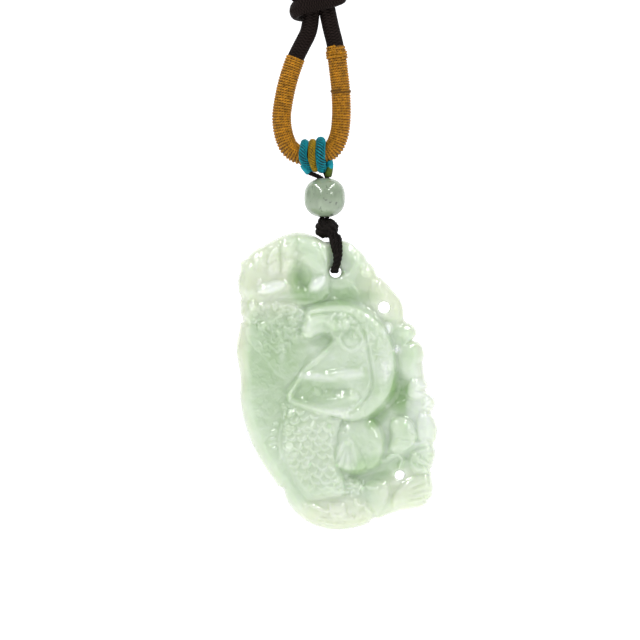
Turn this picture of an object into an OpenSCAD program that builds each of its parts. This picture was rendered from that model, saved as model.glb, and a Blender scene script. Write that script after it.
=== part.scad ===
// Carved jade pendant on a braided neck cord.
// The loop of cord hangs in the XZ plane, the carving faces -Y, and the origin is where
// the closing knot rests at the nape.

/* [Jade carving] */
// Width of the carved stone
jade_w = 38.8; // [32:0.2:46]
// Height of the carved stone
jade_h = 57.7; // [48:0.2:66]
// Greatest height of the relief in front of the middle plane
jade_front = 6.6; // [5:0.1:8]
// Thickness of the smooth back behind the middle plane
jade_back = 3.9; // [3:0.1:5]
// Width of the rounding along the rim
jade_rim = 2.4; // [1.5:0.1:3.5]
// How far the edges of the carving are polished round
polish = 0.6; // [0.4:0.1:1]
// Bore of the cord hole at the top
cord_hole_d = 2.3; // [2.2:0.1:2.6]
// Bore of the pierced hole in the right rim
rim_hole_d = 2.3; // [1.6:0.1:2.6]
// Bore of the pierced hole at the lower right
low_hole_d = 2; // [1.4:0.1:2.4]
// How far the mouth of the cord hole is widened
hole_bevel = 0.5; // [0.2:0.1:0.7]

/* [Bead] */
// Diameter of the round bead
bead_d = 8; // [6:0.1:10]
// Bore of the bead
bead_bore = 2.2; // [2.2:0.1:2.6]
// Distance from the coloured rings down to the bead
bead_below = 1.2; // [1.2:0.1:3]

/* [Neck cord] */
// Diameter of the braided neck cord
cord_d = 2.9; // [2.5:0.1:3]
// Thickness of the gold thread wound round the cord
gold_t = 0.3; // [0.2:0.05:0.5]
// Diameter of the closing knot at the nape
nape_knot_d = 7; // [5.6:0.1:7.6]
// Length of the closing knot at the nape
nape_knot_l = 15.4; // [12:0.2:15.4]

/* [Knot above the gold loop] */
// Height of the cord in each turn of the knot
turn_h = 3.3; // [2.8:0.1:3.4]
// Depth of the cord in each turn of the knot
turn_t = 2.3; // [1.8:0.1:2.8]
// Number of turns
turn_count = 1.7; // [1.2:0.1:2.2]

/* [Coloured rings] */
// Width of each blue ring along the cord
ring_w = 1.8; // [1.4:0.1:2]
// Width of the yellow ring between them
ring_yellow_w = 1.4; // [1.1:0.1:1.6]
// Thickness of each ring
ring_t = 1.3; // [1:0.05:1.5]

/* [Thin cord] */
// Diameter of one strand of the thin cord
strand_d = 0.85; // [0.7:0.05:0.9]
// Diameter of the knot under the bead
low_knot_d = 4.5; // [3.8:0.1:4.8]
// Height of the knot under the bead
low_knot_h = 4; // [3.6:0.1:4.6]
// Clearance between the knot under the bead and the edge of the stone
knot_clear = 0.6; // [0.5:0.1:2]

/* [Hidden] */

// Small gap between pieces that lie against each other
gap = 0.1;

// Sides of every swept cord, and how much further out its corners lie than its flats
cord_sides = 8;
corner = 1 / cos(180 / cord_sides);

// Half of the neck loop from the closing knot down to the knot above the gold loop:
// distance to the side and height above the nape
neck_side = [
    [8, 2.9], [15.6, 1.4], [30, -4.5], [45.8, -17.7], [56.4, -36], [60, -56.5],
    [57.4, -74], [51.3, -94], [9.7, -230], [4.8, -246], [2.2, -256], [1.6, -264]
];
// Gold loop from the right leg round the bottom to the left leg: place across and height
gold_route = [
    [1.6, -270], [2.4, -273.8], [3.3, -277.5], [3.7, -280.5], [4.4, -287.5], [4.4, -292],
    [3.9, -295.2], [2.8, -297.4], [1, -298.6], [-1.4, -298.8], [-3.8, -298.6],
    [-5.6, -297.4], [-6.7, -295], [-7.2, -291.8], [-6.7, -287.5], [-5.6, -283],
    [-4.4, -279.5], [-2.3, -275.4], [-1.6, -270]
];
// Rings of the swept cord on each stretch between two route points
rings_neck = [1, 2, 2, 2, 2, 2, 2, 7, 1, 2, 1];
rings_gold = 2;

// Height of the middle of the knot above the gold loop, where the route passes it
top_knot_z = gold_route[0].y;
// Lowest middle point of the gold loop
loop_low = [for (p = gold_route) if (p.y == min([for (q = gold_route) q.y])) p][0];

// Coloured rings round the bottom of the loop, a little loose above it
ring_inner = corner * cord_d / 2 + 2.5 * gap;
ring_mid = ring_inner + ring_t / 2;
ring_outer = ring_inner + ring_t;
ring_z = loop_low.y + 1.5 * gap;
ring_step = (ring_w + ring_yellow_w) / 2 + gap;

// Bead, knot and cord hole hang in line, each a little to the right of the one above
bead_x = 1.2;
bead_z = ring_z - ring_outer - bead_below - bead_d / 2;
low_knot_x = bead_x + 0.4;
low_knot_z = bead_z - bead_d / 2 - low_knot_h / 2 + gap;
hole_x = bead_x + 2.1;
// How far the stone's edge lies above the cord hole, and the knot above it
edge_over_hole = 0.104 * jade_h;
loop_drop = edge_over_hole + knot_clear;
hole_z = low_knot_z - low_knot_h / 2 - loop_drop;

// The cord hole in the stone, and the two pierced holes: across and up from the stone's
// middle, as shares of its width and height
hole_at = [-0.008, 0.377];
rim_hole_at = [0.236, 0.257];
low_hole_at = [0.314, -0.309];
jade_x = hole_x - hole_at.x * jade_w;
jade_z = hole_z - hole_at.y * jade_h;

// Outline of the stone: angle from the right, counterclockwise, and distance from the
// middle as a share of the height, for a stone of the plain width, and how much wider or
// narrower than that the stone is
plain_w = 0.6724 * jade_h;
stretch = jade_w / plain_w;
outline = [
    [0, 0.297], [20, 0.299], [32, 0.3], [38, 0.314], [45, 0.322], [51, 0.35], [60, 0.368],
    [70, 0.398], [80, 0.452], [86, 0.481], [91, 0.483], [95, 0.481], [98.5, 0.503], [105, 0.53],
    [115, 0.529], [125, 0.524], [133, 0.488], [141, 0.42], [150, 0.38], [160, 0.362],
    [175, 0.328], [190, 0.331], [205, 0.34], [220, 0.358], [235, 0.385], [243, 0.41],
    [250, 0.448], [260, 0.483], [270, 0.494], [280, 0.487], [290, 0.474], [297, 0.48],
    [305, 0.506], [311, 0.492], [317, 0.436], [325, 0.402], [335, 0.37], [345, 0.332],
    [353, 0.304], [360, 0.297]
];
// Round lobes that stand out of the rim: across, up, radius as a share of the width
rim_lobes = [
    [0.4, -0.015, 0.058], [0.45, -0.064, 0.042], [0.445, -0.152, 0.06],
    [0.428, -0.24, 0.065], [0.354, 0.172, 0.045], [0.366, 0.1, 0.072],
    [-0.455, 0.34, 0.045], [-0.45, 0.395, 0.04]
];
// Raised forms: across, up, half width, half height, turn, foot, top, fullness.
// Places and half sizes are shares of the width and height, foot and top of the relief.
raised = [
    [-0.33, -0.04, 0.185, 0.4, 14, 0.3, 0.7, 1],
    [-0.305, 0.142, 0.18, 0.135, 0, 0.35, 0.76, 1.4],
    [0.005, 0.071, 0.286, 0.193, 0, 0.45, 1, 1.5],
    [-0.13, -0.23, 0.165, 0.19, 10, 0.45, 0.82, 1.8],
    [0.126, -0.193, 0.106, 0.088, 0, 0.4, 0.88, 1],
    [0.33, -0.164, 0.066, 0.06, 0, 0.35, 0.74, 1],
    [0.4, -0.015, 0.058, 0.039, 0, 0.3, 0.64, 1],
    [0.452, -0.064, 0.05, 0.034, 0, 0.25, 0.54, 1],
    [0.448, -0.152, 0.065, 0.046, 0, 0.25, 0.62, 1],
    [0.41, -0.247, 0.085, 0.052, 0, 0.3, 0.62, 1.4],
    [0.36, -0.37, 0.14, 0.066, 12, 0.25, 0.54, 1.4],
    [0.22, -0.388, 0.095, 0.06, 0, 0.35, 0.66, 1],
    [-0.01, -0.425, 0.21, 0.062, 0, 0.35, 0.64, 1.2],
    [-0.235, 0.408, 0.19, 0.092, 0, 0.35, 0.7, 1.5],
    [-0.098, 0.337, 0.05, 0.032, 0, 0.35, 0.76, 1],
    [-0.325, 0.321, 0.075, 0.02, 0, 0.4, 0.8, 1],
    [-0.455, 0.365, 0.05, 0.08, 0, 0.25, 0.52, 1],
    [0.158, 0.375, 0.045, 0.03, 0, 0.3, 0.56, 1],
    [0.27, 0.268, 0.08, 0.095, 35, 0.25, 0.54, 1.2],
    [0.36, 0.172, 0.045, 0.04, 0, 0.25, 0.56, 1],
    [0.37, 0.095, 0.065, 0.078, 0, 0.25, 0.58, 1],
    [0.065, 0.156, 0.06, 0.04, 0, 0.95, 1.06, 1],
    [0.08, -0.045, 0.036, 0.024, 0, 0.7, 0.98, 1]
];
// Hollows: across, up, half width, half height, turn, depth as a share of the relief
sunk = [
    [-0.09, -0.02, 0.145, 0.043, 4, 0.42],
    [-0.075, 0.138, 0.07, 0.045, 0, 0.32],
    [-0.16, 0.09, 0.1, 0.06, 60, 0.3],
    [0.26, -0.05, 0.075, 0.065, -40, 0.5],
    [0.33, 0.0, 0.03, 0.06, 10, 0.3],
    [0.12, -0.305, 0.125, 0.028, 5, 0.3],
    [-0.175, 0.368, 0.05, 0.038, 0, 0.42],
    [0.3, -0.225, 0.05, 0.03, 30, 0.25],
    [0.3, -0.3, 0.06, 0.03, 0, 0.16],
    [0.2, 0.25, 0.13, 0.022, -42, 0.24],
    [-0.22, 0.275, 0.24, 0.02, 0, 0.4],
    [0.06, 0.285, 0.16, 0.026, -6, 0.3]
];
// Raised lines: start across and up, end across and up, half width, height
ridges = [
    [-0.245, -0.035, -0.178, 0.01, 0.026, 0.16],
    [-0.178, 0.01, -0.1, 0.034, 0.028, 0.2],
    [-0.1, 0.034, 0.0, 0.034, 0.028, 0.2],
    [0.0, 0.034, 0.12, 0.04, 0.04, 0.12],
    [-0.17, 0.172, -0.12, 0.212, 0.03, 0.22],
    [-0.12, 0.212, -0.05, 0.22, 0.03, 0.24],
    [-0.05, 0.22, 0.0, 0.18, 0.03, 0.14],
    [-0.08, -0.1, 0.0, -0.1, 0.028, 0.2],
    [0.0, -0.1, 0.07, -0.1, 0.03, 0.2],
    [0.07, -0.1, 0.125, -0.064, 0.03, 0.16]
];
// Height of the plain ground of the relief and of the very edge, as shares
ground = 0.4;
edge_share = 0.15;
// How steeply the side of a raised form falls
wall_slope = 2.6;

// Rings of the net over the front, which has six corners, and of the plainer back
net_rings = 34;
back_rings = [0.97, 0.9, 0.7, 0.4];

function unit(v) = v / norm(v);
function mix(a, b, t) = a + (b - a) * t;

// Direction of a route at point i, weighted by the stretches on both sides
function heading(p, i) =
    i == 0 ? unit(p[1] - p[0])
    : i == len(p) - 1 ? unit(p[i] - p[i - 1])
    : let (a = norm(p[i] - p[i - 1]), b = norm(p[i + 1] - p[i]))
        ((p[i] - p[i - 1]) / a * b + (p[i + 1] - p[i]) / b * a) / (a + b);

// Point at share t of the smooth stretch from point i to the next
function on_route(p, i, t) =
    let (
        d = norm(p[i + 1] - p[i]),
        m = heading(p, i) * d,
        n = heading(p, i + 1) * d,
        t2 = t * t,
        t3 = t2 * t
    )
    (2 * t3 - 3 * t2 + 1) * p[i] + (t3 - 2 * t2 + t) * m
    + (3 * t2 - 2 * t3) * p[i + 1] + (t3 - t2) * n;

// Smooth route with a given number of rings on each stretch
function smooth(p, counts) = concat(
    [for (i = [0:len(p) - 2]) for (k = [0:counts[i] - 1]) on_route(p, i, k / counts[i])],
    [p[len(p) - 1]]
);

function repeated(value, count) = [for (i = [1:count]) value];
function backwards(list) = [for (i = [len(list) - 1:-1:0]) list[i]];
function in_xz(list) = [for (p = list) [p.x, 0, p.y]];

// Way along a path at ring i, closed paths joining end to start
function way(path, i, closed) =
    let (
        n = len(path),
        before = closed ? (i + n - 1) % n : max(i - 1, 0),
        after = closed ? (i + 1) % n : min(i + 1, n - 1)
    )
    unit(path[after] - path[before]);

// One ring of points round a path: half_u lies square to the flat direction, half_v along it
function ring_points(path, i, flat, half_u, half_v, closed) =
    let (
        t = way(path, i, closed),
        u = unit(cross(t, flat)),
        v = cross(t, u)
    )
    [
        for (k = [0:cord_sides - 1])
            let (a = -360 * (k + 0.5) / cord_sides)
            path[i] + corner * (half_u * cos(a) * u + half_v * sin(a) * v)
    ];

function band_faces(first, second, sides) = [
    for (k = [0:sides - 1])
        let (m = (k + 1) % sides)
        each [
            [first + k, first + m, second + m],
            [first + k, second + m, second + k]
        ]
];

// Solid cord along a path
module cord_along(path, flat, half_u, half_v, closed = false) {
    n = len(path);
    points = [
        for (i = [0:n - 1]) each ring_points(path, i, flat, half_u, half_v, closed)
    ];
    bands = [
        for (i = [0:n - (closed ? 1 : 2)])
            each band_faces(i * cord_sides, ((i + 1) % n) * cord_sides, cord_sides)
    ];
    caps = closed ? [] : [
        [for (k = [cord_sides - 1:-1:0]) k],
        [for (k = [0:cord_sides - 1]) (n - 1) * cord_sides + k]
    ];
    polyhedron(points, concat(bands, caps), convexity = 10);
}

// Hollow sleeve along a path
module sleeve_along(path, flat, outer, inner) {
    n = len(path);
    last = n * cord_sides;
    points = [
        for (r = [outer, inner]) for (i = [0:n - 1])
            each ring_points(path, i, flat, r, r, false)
    ];
    outside = [
        for (i = [0:n - 2])
            each band_faces(i * cord_sides, (i + 1) * cord_sides, cord_sides)
    ];
    inside = [
        for (i = [0:n - 2])
            each band_faces(last + (i + 1) * cord_sides, last + i * cord_sides, cord_sides)
    ];
    ends = concat(
        band_faces(last, 0, cord_sides),
        band_faces((n - 1) * cord_sides, last + (n - 1) * cord_sides, cord_sides)
    );
    polyhedron(points, concat(outside, inside, ends), convexity = 10);
}

neck_path = smooth(neck_side, rings_neck);
gold_path = smooth(gold_route, repeated(rings_gold, len(gold_route) - 1));
cord_path = in_xz(concat(
    neck_path,
    gold_path,
    [for (p = backwards(neck_path)) [-p.x, p.y]]
));

module neck_cord() {
    color([0.13, 0.1, 0.09])
        cord_along(cord_path, [0, 1, 0], cord_d / 2, cord_d / 2);
}

// Plain barrel that closes the loop at the nape
module closing_knot() {
    round_r = nape_knot_d / 4;
    color([0.13, 0.1, 0.09])
        translate([0, 0, nape_knot_d / 2])
            rotate([0, 90, 0])
                rotate_extrude($fn = 48)
                    intersection() {
                        translate([0, -nape_knot_l / 2])
                            square([nape_knot_d / 2, nape_knot_l]);
                        hull() {
                            for (side = [-1, 1])
                                translate([
                                    nape_knot_d / 2 - round_r,
                                    side * (nape_knot_l / 2 - round_r)
                                ])
                                    circle(round_r, $fn = 32);
                            translate([-1, -nape_knot_l / 2])
                                square([1, nape_knot_l]);
                        }
                    }
}

// The cord wound round both of its legs, rising from left to right in front
leg_x = gold_route[0].x;
turn_in = corner * cord_d / 2 + 1.5 * gap + turn_t / 2;
function wound(a) = [
    turn_in * cos(a) + leg_x * max(-1, min(1, 3 * cos(a))),
    turn_in * sin(a),
    top_knot_z - 0.4 + (turn_h + gap) * (a - 180) / 360
];

module top_knot() {
    start = 115;
    steps = 36;
    path = [for (i = [0:steps]) wound(start + 360 * turn_count * i / steps)];
    color([0.13, 0.1, 0.09])
        cord_along(path, [0, 0, 1], turn_t / 2, turn_h / 2);
}

// Gold thread wound round the two sides of the loop, from the given rings of the route
// down to the coloured rings
gold_top_right = 4;
gold_bottom = 18;
gold_top_left = 32;
rings_left = loop_low.x - ring_step - ring_w / 2 - gap;
rings_right = loop_low.x + ring_step + ring_w / 2 + gap;

// Winding between two rings of the route, cut off square at cut_x towards the given side
module gold_wrap(first, last, cut_x, side) {
    inner = cord_d / 2 + gap;
    color([0.62, 0.42, 0.12])
        difference() {
            sleeve_along(
                in_xz([for (i = [first:last]) gold_path[i]]), [0, 1, 0], inner + gold_t, inner
            );
            translate([cut_x + side * cord_d, 0, loop_low.y])
                cube([2 * cord_d, 2 * cord_d, 2 * cord_d], center = true);
        }
}

module gold_wrap_right() {
    gold_wrap(gold_top_right, gold_bottom, rings_right, -1);
}

module gold_wrap_left() {
    gold_wrap(gold_bottom, gold_top_left, rings_left, 1);
}

// One closed ring round the bottom of the loop
module ring(x, width) {
    steps = 20;
    path = [
        for (i = [0:steps - 1])
            let (a = 360 * i / steps)
            [0, ring_mid * cos(a), ring_mid * sin(a)]
    ];
    translate([x, 0, ring_z])
        cord_along(path, [1, 0, 0], ring_t / 2, width / 2, closed = true);
}

module ring_blue_left() {
    color([0.06, 0.5, 0.6]) ring(loop_low.x - ring_step, ring_w);
}

module ring_yellow() {
    color([0.6, 0.55, 0.12]) ring(loop_low.x, ring_yellow_w);
}

module ring_blue_right() {
    color([0.06, 0.5, 0.6]) ring(loop_low.x + ring_step, ring_w);
}

// Wound ends of the thin cord beside and under the rings, and the bare strands below them
strand_x = corner * strand_d / 2 + gap;
tail_d = 1.5 * strand_d;
tail_x = rings_right + corner * tail_d / 2 + gap;
tail_top = loop_low.y - corner * (cord_d / 2 + gold_t);
tail_low = ring_z - ring_outer - 0.5;
left_tail_x = loop_low.x - ring_step / 2;
left_tail_z = ring_z - ring_outer - gap - corner * tail_d / 2;

module wound_tail(route) {
    cord_along(smooth(route, repeated(2, len(route) - 1)), [0, 1, 0], tail_d / 2, tail_d / 2);
}

module tail_wrap_right() {
    color([0.25, 0.42, 0.12])
        wound_tail([
            [tail_x, 0.9, tail_top], [tail_x, 0.5, mix(tail_top, tail_low, 0.5)],
            [tail_x - 0.2, 0.1, tail_low]
        ]);
}

module tail_wrap_left() {
    color([0.06, 0.5, 0.6])
        wound_tail([
            [left_tail_x - 0.8, 0.4, left_tail_z + 0.1], [left_tail_x - 0.3, 0.2, left_tail_z],
            [left_tail_x + 0.3, 0, left_tail_z - 0.1]
        ]);
}

module bead_strand(path, side) {
    down = low_knot_z + low_knot_h / 2 + gap / 2;
    route = concat(path, [
        [bead_x + side * strand_x, 0, bead_z + bead_d / 2 - 0.3],
        [bead_x + side * strand_x, 0, bead_z],
        [bead_x + side * strand_x, 0, down]
    ]);
    color([0.1, 0.08, 0.07])
        cord_along(smooth(route, repeated(3, len(route) - 1)), [0, 1, 0],
            strand_d / 2, strand_d / 2);
}

module bead_strand_left() {
    under = ring_z - ring_outer - gap - corner * strand_d / 2;
    bead_strand([
        [left_tail_x + 0.6, 0, left_tail_z - 0.1], [bead_x - 1.7, 0, under - 0.1],
        [bead_x - 0.75, 0, under - 0.35]
    ], -1);
}

module bead_strand_right() {
    bead_strand([[tail_x - 0.2, 0.1, tail_low - 3 * gap]], 1);
}

module bead() {
    color([0.62, 0.69, 0.6])
        translate([bead_x, 0, bead_z])
            difference() {
                sphere(d = bead_d, $fn = 64);
                cylinder(d = bead_bore, h = 2 * bead_d, center = true, $fn = 32);
            }
}

// Three fused turns of the thin cord
module lower_knot() {
    turn_r = low_knot_h / 4.8;
    pitch = low_knot_h / 2 - turn_r;
    color([0.1, 0.08, 0.07])
        translate([low_knot_x, 0, low_knot_z])
            rotate_extrude($fn = 40)
                intersection() {
                    translate([0, -low_knot_h])
                        square([low_knot_d, 2 * low_knot_h]);
                    union() {
                        for (i = [-1:1])
                            translate([low_knot_d / 2 - turn_r - abs(i) * strand_d / 3, i * pitch])
                                circle(turn_r, $fn = 32);
                        translate([-1, -low_knot_h / 2])
                            square([low_knot_d / 2 - turn_r - strand_d / 3 + 1, low_knot_h]);
                    }
                }
}

// Two strands that go through the cord hole and back up behind the stone: across, back,
// and up from the hole as a share of the way to the knot
loop_side = [
    [0, -1.8, 0.97], [0, -2.7, 0.88], [0.3, -3.2, 0.667], [0.5, -3.3, 0.455],
    [0.4, -3.4, 0.242], [0.1, -3.1, 0.076], [0, -1.7, 0.03]
];
// How much further out they lie behind the stone than in front
back_reach = 1.22;

module pendant_loop() {
    front = [for (p = loop_side) [p.x, p.y, p.z * loop_drop]];
    route = concat(
        front,
        [[0, 0, 0.03 * loop_drop]],
        [for (p = backwards(front)) [p.x, -back_reach * p.y, p.z]]
    );
    path = smooth(route, repeated(2, len(route) - 1));
    color([0.1, 0.08, 0.07])
        translate([hole_x, 0, hole_z])
            for (side = [-1, 1])
                translate([side * strand_x, 0, 0])
                    cord_along(path, [1, 0, 0], strand_d / 2, strand_d / 2);
}

// Distance from the middle of the stone to its outline, as a smooth curve through the table
function outline_base(a) =
    let (
        n = len(outline),
        i = max([for (k = [0:n - 2]) if (outline[k][0] <= a) k]),
        before = outline[i == 0 ? n - 2 : i - 1],
        after = outline[i == n - 2 ? 1 : i + 2],
        p = outline[i],
        q = outline[i + 1],
        span = q[0] - p[0],
        span_before = i == 0 ? 360 - before[0] : p[0] - before[0],
        span_after = i == n - 2 ? after[0] : after[0] - q[0],
        t = (a - p[0]) / span,
        m = (q[1] - before[1]) / (span + span_before) * span,
        k = (after[1] - p[1]) / (span + span_after) * span
    )
    jade_h * ((2 * t * t * t - 3 * t * t + 1) * p[1] + (t * t * t - 2 * t * t + t) * m
        + (3 * t * t - 2 * t * t * t) * q[1] + (t * t * t - t * t) * k);

// Distance to the far side of one round lobe, or nothing where the ray misses it
function lobe_reach(a, lobe) =
    let (
        c = [lobe.x * plain_w, lobe.y * jade_h],
        along = c * [cos(a), sin(a)],
        room = pow(lobe[2] * plain_w, 2) - (c * c - along * along)
    )
    room > 0 && along > 0 ? along + sqrt(room) : 0;

function reach(a) = max(concat([outline_base(a)], [for (lobe = rim_lobes) lobe_reach(a, lobe)]));

// Squared distance from a form's middle, 1 on its edge
function spread(p, form) =
    let (d = [p.x - form[0] * jade_w, p.y - form[1] * jade_h])
    pow((d.x * cos(form[4]) + d.y * sin(form[4])) / (form[2] * jade_w), 2)
    + pow((d.y * cos(form[4]) - d.x * sin(form[4])) / (form[3] * jade_h), 2);

function raised_at(p, form) =
    let (q = spread(p, form))
    q < 1
        ? form[5] + (form[6] - form[5]) * (1 - pow(q, form[7]))
        : form[5] - wall_slope * (sqrt(q) - 1) * min(form[2] * jade_w, form[3] * jade_h) / jade_front;

function sunk_at(p, form) =
    let (q = spread(p, form))
    q < 1 ? form[5] * pow(1 - q, 1.2) : 0;

function ridge_at(p, line) =
    let (
        a = [line[0] * jade_w, line[1] * jade_h],
        b = [line[2] * jade_w, line[3] * jade_h],
        t = min(1, max(0, (p - a) * (b - a) / ((b - a) * (b - a)))),
        q = norm(p - mix(a, b, t)) / (line[4] * jade_w)
    )
    q < 1 ? line[5] * (1 - q * q) : 0;

// Height of the relief away from the rim, as a share of the greatest height
function sharp_relief(p) =
    max(concat([ground], [for (form = raised) raised_at(p, form)]))
    + max(concat([0], [for (line = ridges) ridge_at(p, line)]))
    - max(concat([0], [for (form = sunk) sunk_at(p, form)]));

// The same with its edges polished round
function relief(p) =
    (2 * sharp_relief(p)
    + sharp_relief([p.x + polish, p.y]) + sharp_relief([p.x - polish, p.y])
    + sharp_relief([p.x, p.y + polish]) + sharp_relief([p.x, p.y - polish])) / 6;

// Rounding of the rim: 0 at the edge, 1 further in
function rim_round(inset) =
    let (s = min(1, max(0, inset / jade_rim))) sqrt(1 - (1 - s) * (1 - s));

function front_height(p, inset) =
    jade_front * mix(edge_share, max(edge_share, relief(p)), rim_round(inset));

function back_height(p, inset) =
    let (
        q = pow(p.x / jade_w, 2) + pow(p.y / jade_h, 2),
        edge = jade_front * edge_share
    )
    mix(edge, jade_back * (1 - 1.3 * q), rim_round(inset));

// Points of the net: ring j has 6 j points, evenly turned
function net_start(j) = j == 0 ? 0 : 1 + 3 * j * (j - 1);
function net_index(j, k) = j == 0 ? 0 : net_start(j) + k % (6 * j);

module carved_block() {
    edge_count = 6 * net_rings;
    edge_reach = [for (k = [0:edge_count - 1]) reach(360 * k / edge_count)];
    function reach_at(share) =
        let (s = share * edge_count, k = floor(s))
        mix(edge_reach[k % edge_count], edge_reach[(k + 1) % edge_count], s - k);

    net_points = concat(
        [[0, -front_height([0, 0], jade_w), 0]],
        [
            for (j = [1:net_rings]) for (k = [0:6 * j - 1])
                let (
                    a = 60 * k / j,
                    far = reach_at(k / (6 * j)),
                    r = far * j / net_rings,
                    p = [stretch * r * cos(a), r * sin(a)]
                )
                [p.x, -front_height(p, far - r), p.y]
        ]
    );
    back_points = concat(
        [
            for (s = concat([1], back_rings)) for (k = [0:edge_count - 1])
                let (
                    a = 360 * k / edge_count,
                    r = edge_reach[k] * s,
                    p = [stretch * r * cos(a), r * sin(a)]
                )
                [p.x, back_height(p, edge_reach[k] - r), p.y]
        ],
        [[0, back_height([0, 0], jade_w), 0]]
    );
    net_faces = [
        for (j = [1:net_rings]) for (s = [0:5]) each concat(
            [
                for (m = [0:j - 1])
                    [
                        net_index(j, s * j + m), net_index(j - 1, s * (j - 1) + m),
                        net_index(j, s * j + m + 1)
                    ]
            ],
            j == 1 ? [] : [
                for (m = [0:j - 2])
                    [
                        net_index(j - 1, s * (j - 1) + m), net_index(j - 1, s * (j - 1) + m + 1),
                        net_index(j, s * j + m + 1)
                    ]
            ]
        )
    ];
    front_edge = net_start(net_rings);
    back_start = len(net_points);
    back_middle = back_start + edge_count * (len(back_rings) + 1);
    last_ring = back_middle - edge_count;
    faces = concat(
        net_faces,
        band_faces(back_start, front_edge, edge_count),
        [
            for (i = [1:len(back_rings)])
                each band_faces(
                    back_start + i * edge_count, back_start + (i - 1) * edge_count,
                    edge_count
                )
        ],
        [
            for (k = [0:edge_count - 1])
                [back_middle, last_ring + (k + 1) % edge_count, last_ring + k]
        ]
    );
    polyhedron(concat(net_points, back_points), faces, convexity = 10);
}

module pierced(at, d) {
    translate([at.x * jade_w, 0, at.y * jade_h])
        rotate([90, 0, 0])
            cylinder(d = d, h = 4 * jade_front, center = true, $fn = 32);
}

// Widened mouth of the cord hole at a height in front of or behind the middle plane
module cord_mouth(turn, height) {
    translate([hole_at.x * jade_w, 0, hole_at.y * jade_h])
        rotate([turn, 0, 0])
            translate([0, 0, height - hole_bevel])
                cylinder(
                    d1 = cord_hole_d, d2 = cord_hole_d + 6 * hole_bevel,
                    h = 3 * hole_bevel, $fn = 32
                );
}

module jade_carving() {
    color([0.78, 0.86, 0.77])
        translate([jade_x, 0, jade_z])
            difference() {
                carved_block();
                pierced(hole_at, cord_hole_d);
                cord_mouth(90, ground * jade_front);
                cord_mouth(-90, back_height([0, hole_at.y * jade_h], jade_w));
                pierced(rim_hole_at, rim_hole_d);
                pierced(low_hole_at, low_hole_d);
            }
}

jade_carving();
bead();
neck_cord();
closing_knot();
top_knot();
gold_wrap_left();
gold_wrap_right();
ring_blue_left();
ring_yellow();
ring_blue_right();
tail_wrap_left();
tail_wrap_right();
bead_strand_left();
bead_strand_right();
lower_knot();
pendant_loop();
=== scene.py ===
"""Carved jade pendant on a braided neck cord: its looks, in metres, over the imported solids."""

import math

import bpy
import numpy as np
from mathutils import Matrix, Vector


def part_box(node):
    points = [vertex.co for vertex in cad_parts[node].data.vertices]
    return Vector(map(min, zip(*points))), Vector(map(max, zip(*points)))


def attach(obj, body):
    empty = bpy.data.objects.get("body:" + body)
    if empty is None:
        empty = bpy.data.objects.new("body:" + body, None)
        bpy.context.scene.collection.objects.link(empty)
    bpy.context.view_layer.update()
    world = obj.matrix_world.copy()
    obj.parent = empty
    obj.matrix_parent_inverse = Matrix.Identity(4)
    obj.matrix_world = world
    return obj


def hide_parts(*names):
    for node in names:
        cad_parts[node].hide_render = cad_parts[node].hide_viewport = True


bl_info = {
    "name": "Carved jade pendant",
    "version": (1, 0, 0),
    "blender": (4, 5, 0),
    "location": "View3D > Sidebar > Pendant",
    "description": "Carved stone, bead, wound threads and knotted cords of a jade pendant",
    "category": "Object",
}

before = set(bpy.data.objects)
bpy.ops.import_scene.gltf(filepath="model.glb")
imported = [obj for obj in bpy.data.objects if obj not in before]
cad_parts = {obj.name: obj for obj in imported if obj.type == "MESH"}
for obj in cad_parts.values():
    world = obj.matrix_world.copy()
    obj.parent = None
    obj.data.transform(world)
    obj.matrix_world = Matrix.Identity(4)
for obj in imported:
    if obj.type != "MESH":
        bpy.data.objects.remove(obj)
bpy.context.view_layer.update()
CORD_BODY = "cord_and_bead"
STONE_BODY = "stone"
MM = 0.001
TURN = 2 * math.pi

# Half of the neck loop and the gold loop, as the solids have them: across and up, mm
NECK_SIDE = [
    (5, 3.3), (8, 2.9), (15.6, 1.4), (30, -4.5), (45.8, -17.7), (56.4, -36), (60, -56.5),
    (57.4, -74), (51.3, -94), (9.7, -230), (4.8, -246), (2.2, -256), (1.6, -264),
]
GOLD_ROUTE = [
    (1.6, -270), (2.4, -273.8), (3.3, -277.5), (3.7, -280.5), (4.4, -287.5), (4.4, -292),
    (3.9, -295.2), (2.8, -297.4), (1, -298.6), (-1.4, -298.8), (-3.8, -298.6),
    (-5.6, -297.4), (-6.7, -295), (-7.2, -291.8), (-6.7, -287.5), (-5.6, -283),
    (-4.3, -279.4), (-3.1, -277.0), (-2.1, -275.0), (-1.3, -270),
]
# Places on the way down, mm
RINGS_AT = (-1.4, -298.65)
BEAD_AT = (1.2, -306.97)
LOW_KNOT_AT = (1.6, -312.87)
CORD_HOLE = (3.3, -321.47)
STONE_AT = (3.61, -343.22)
# What the middle of the picture shows, across and up, mm; half the picture in pixels, and mm
# for each pixel
VIEW_AT = (0.29, -330.84)
HALF_FRAME, PIXEL = 320, 0.195


# ---------------------------------------------------------------- settings


def length(name, text, size_mm):
    """A size that the user can change."""
    return bpy.props.FloatProperty(
        name=name, description=text, default=size_mm * MM, unit="LENGTH", precision=5
    )


def colour(name, text, default):
    """A colour that the user can change."""
    return bpy.props.FloatVectorProperty(
        name=name, description=text, default=default, subtype="COLOR", size=3, min=0, max=1
    )


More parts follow.
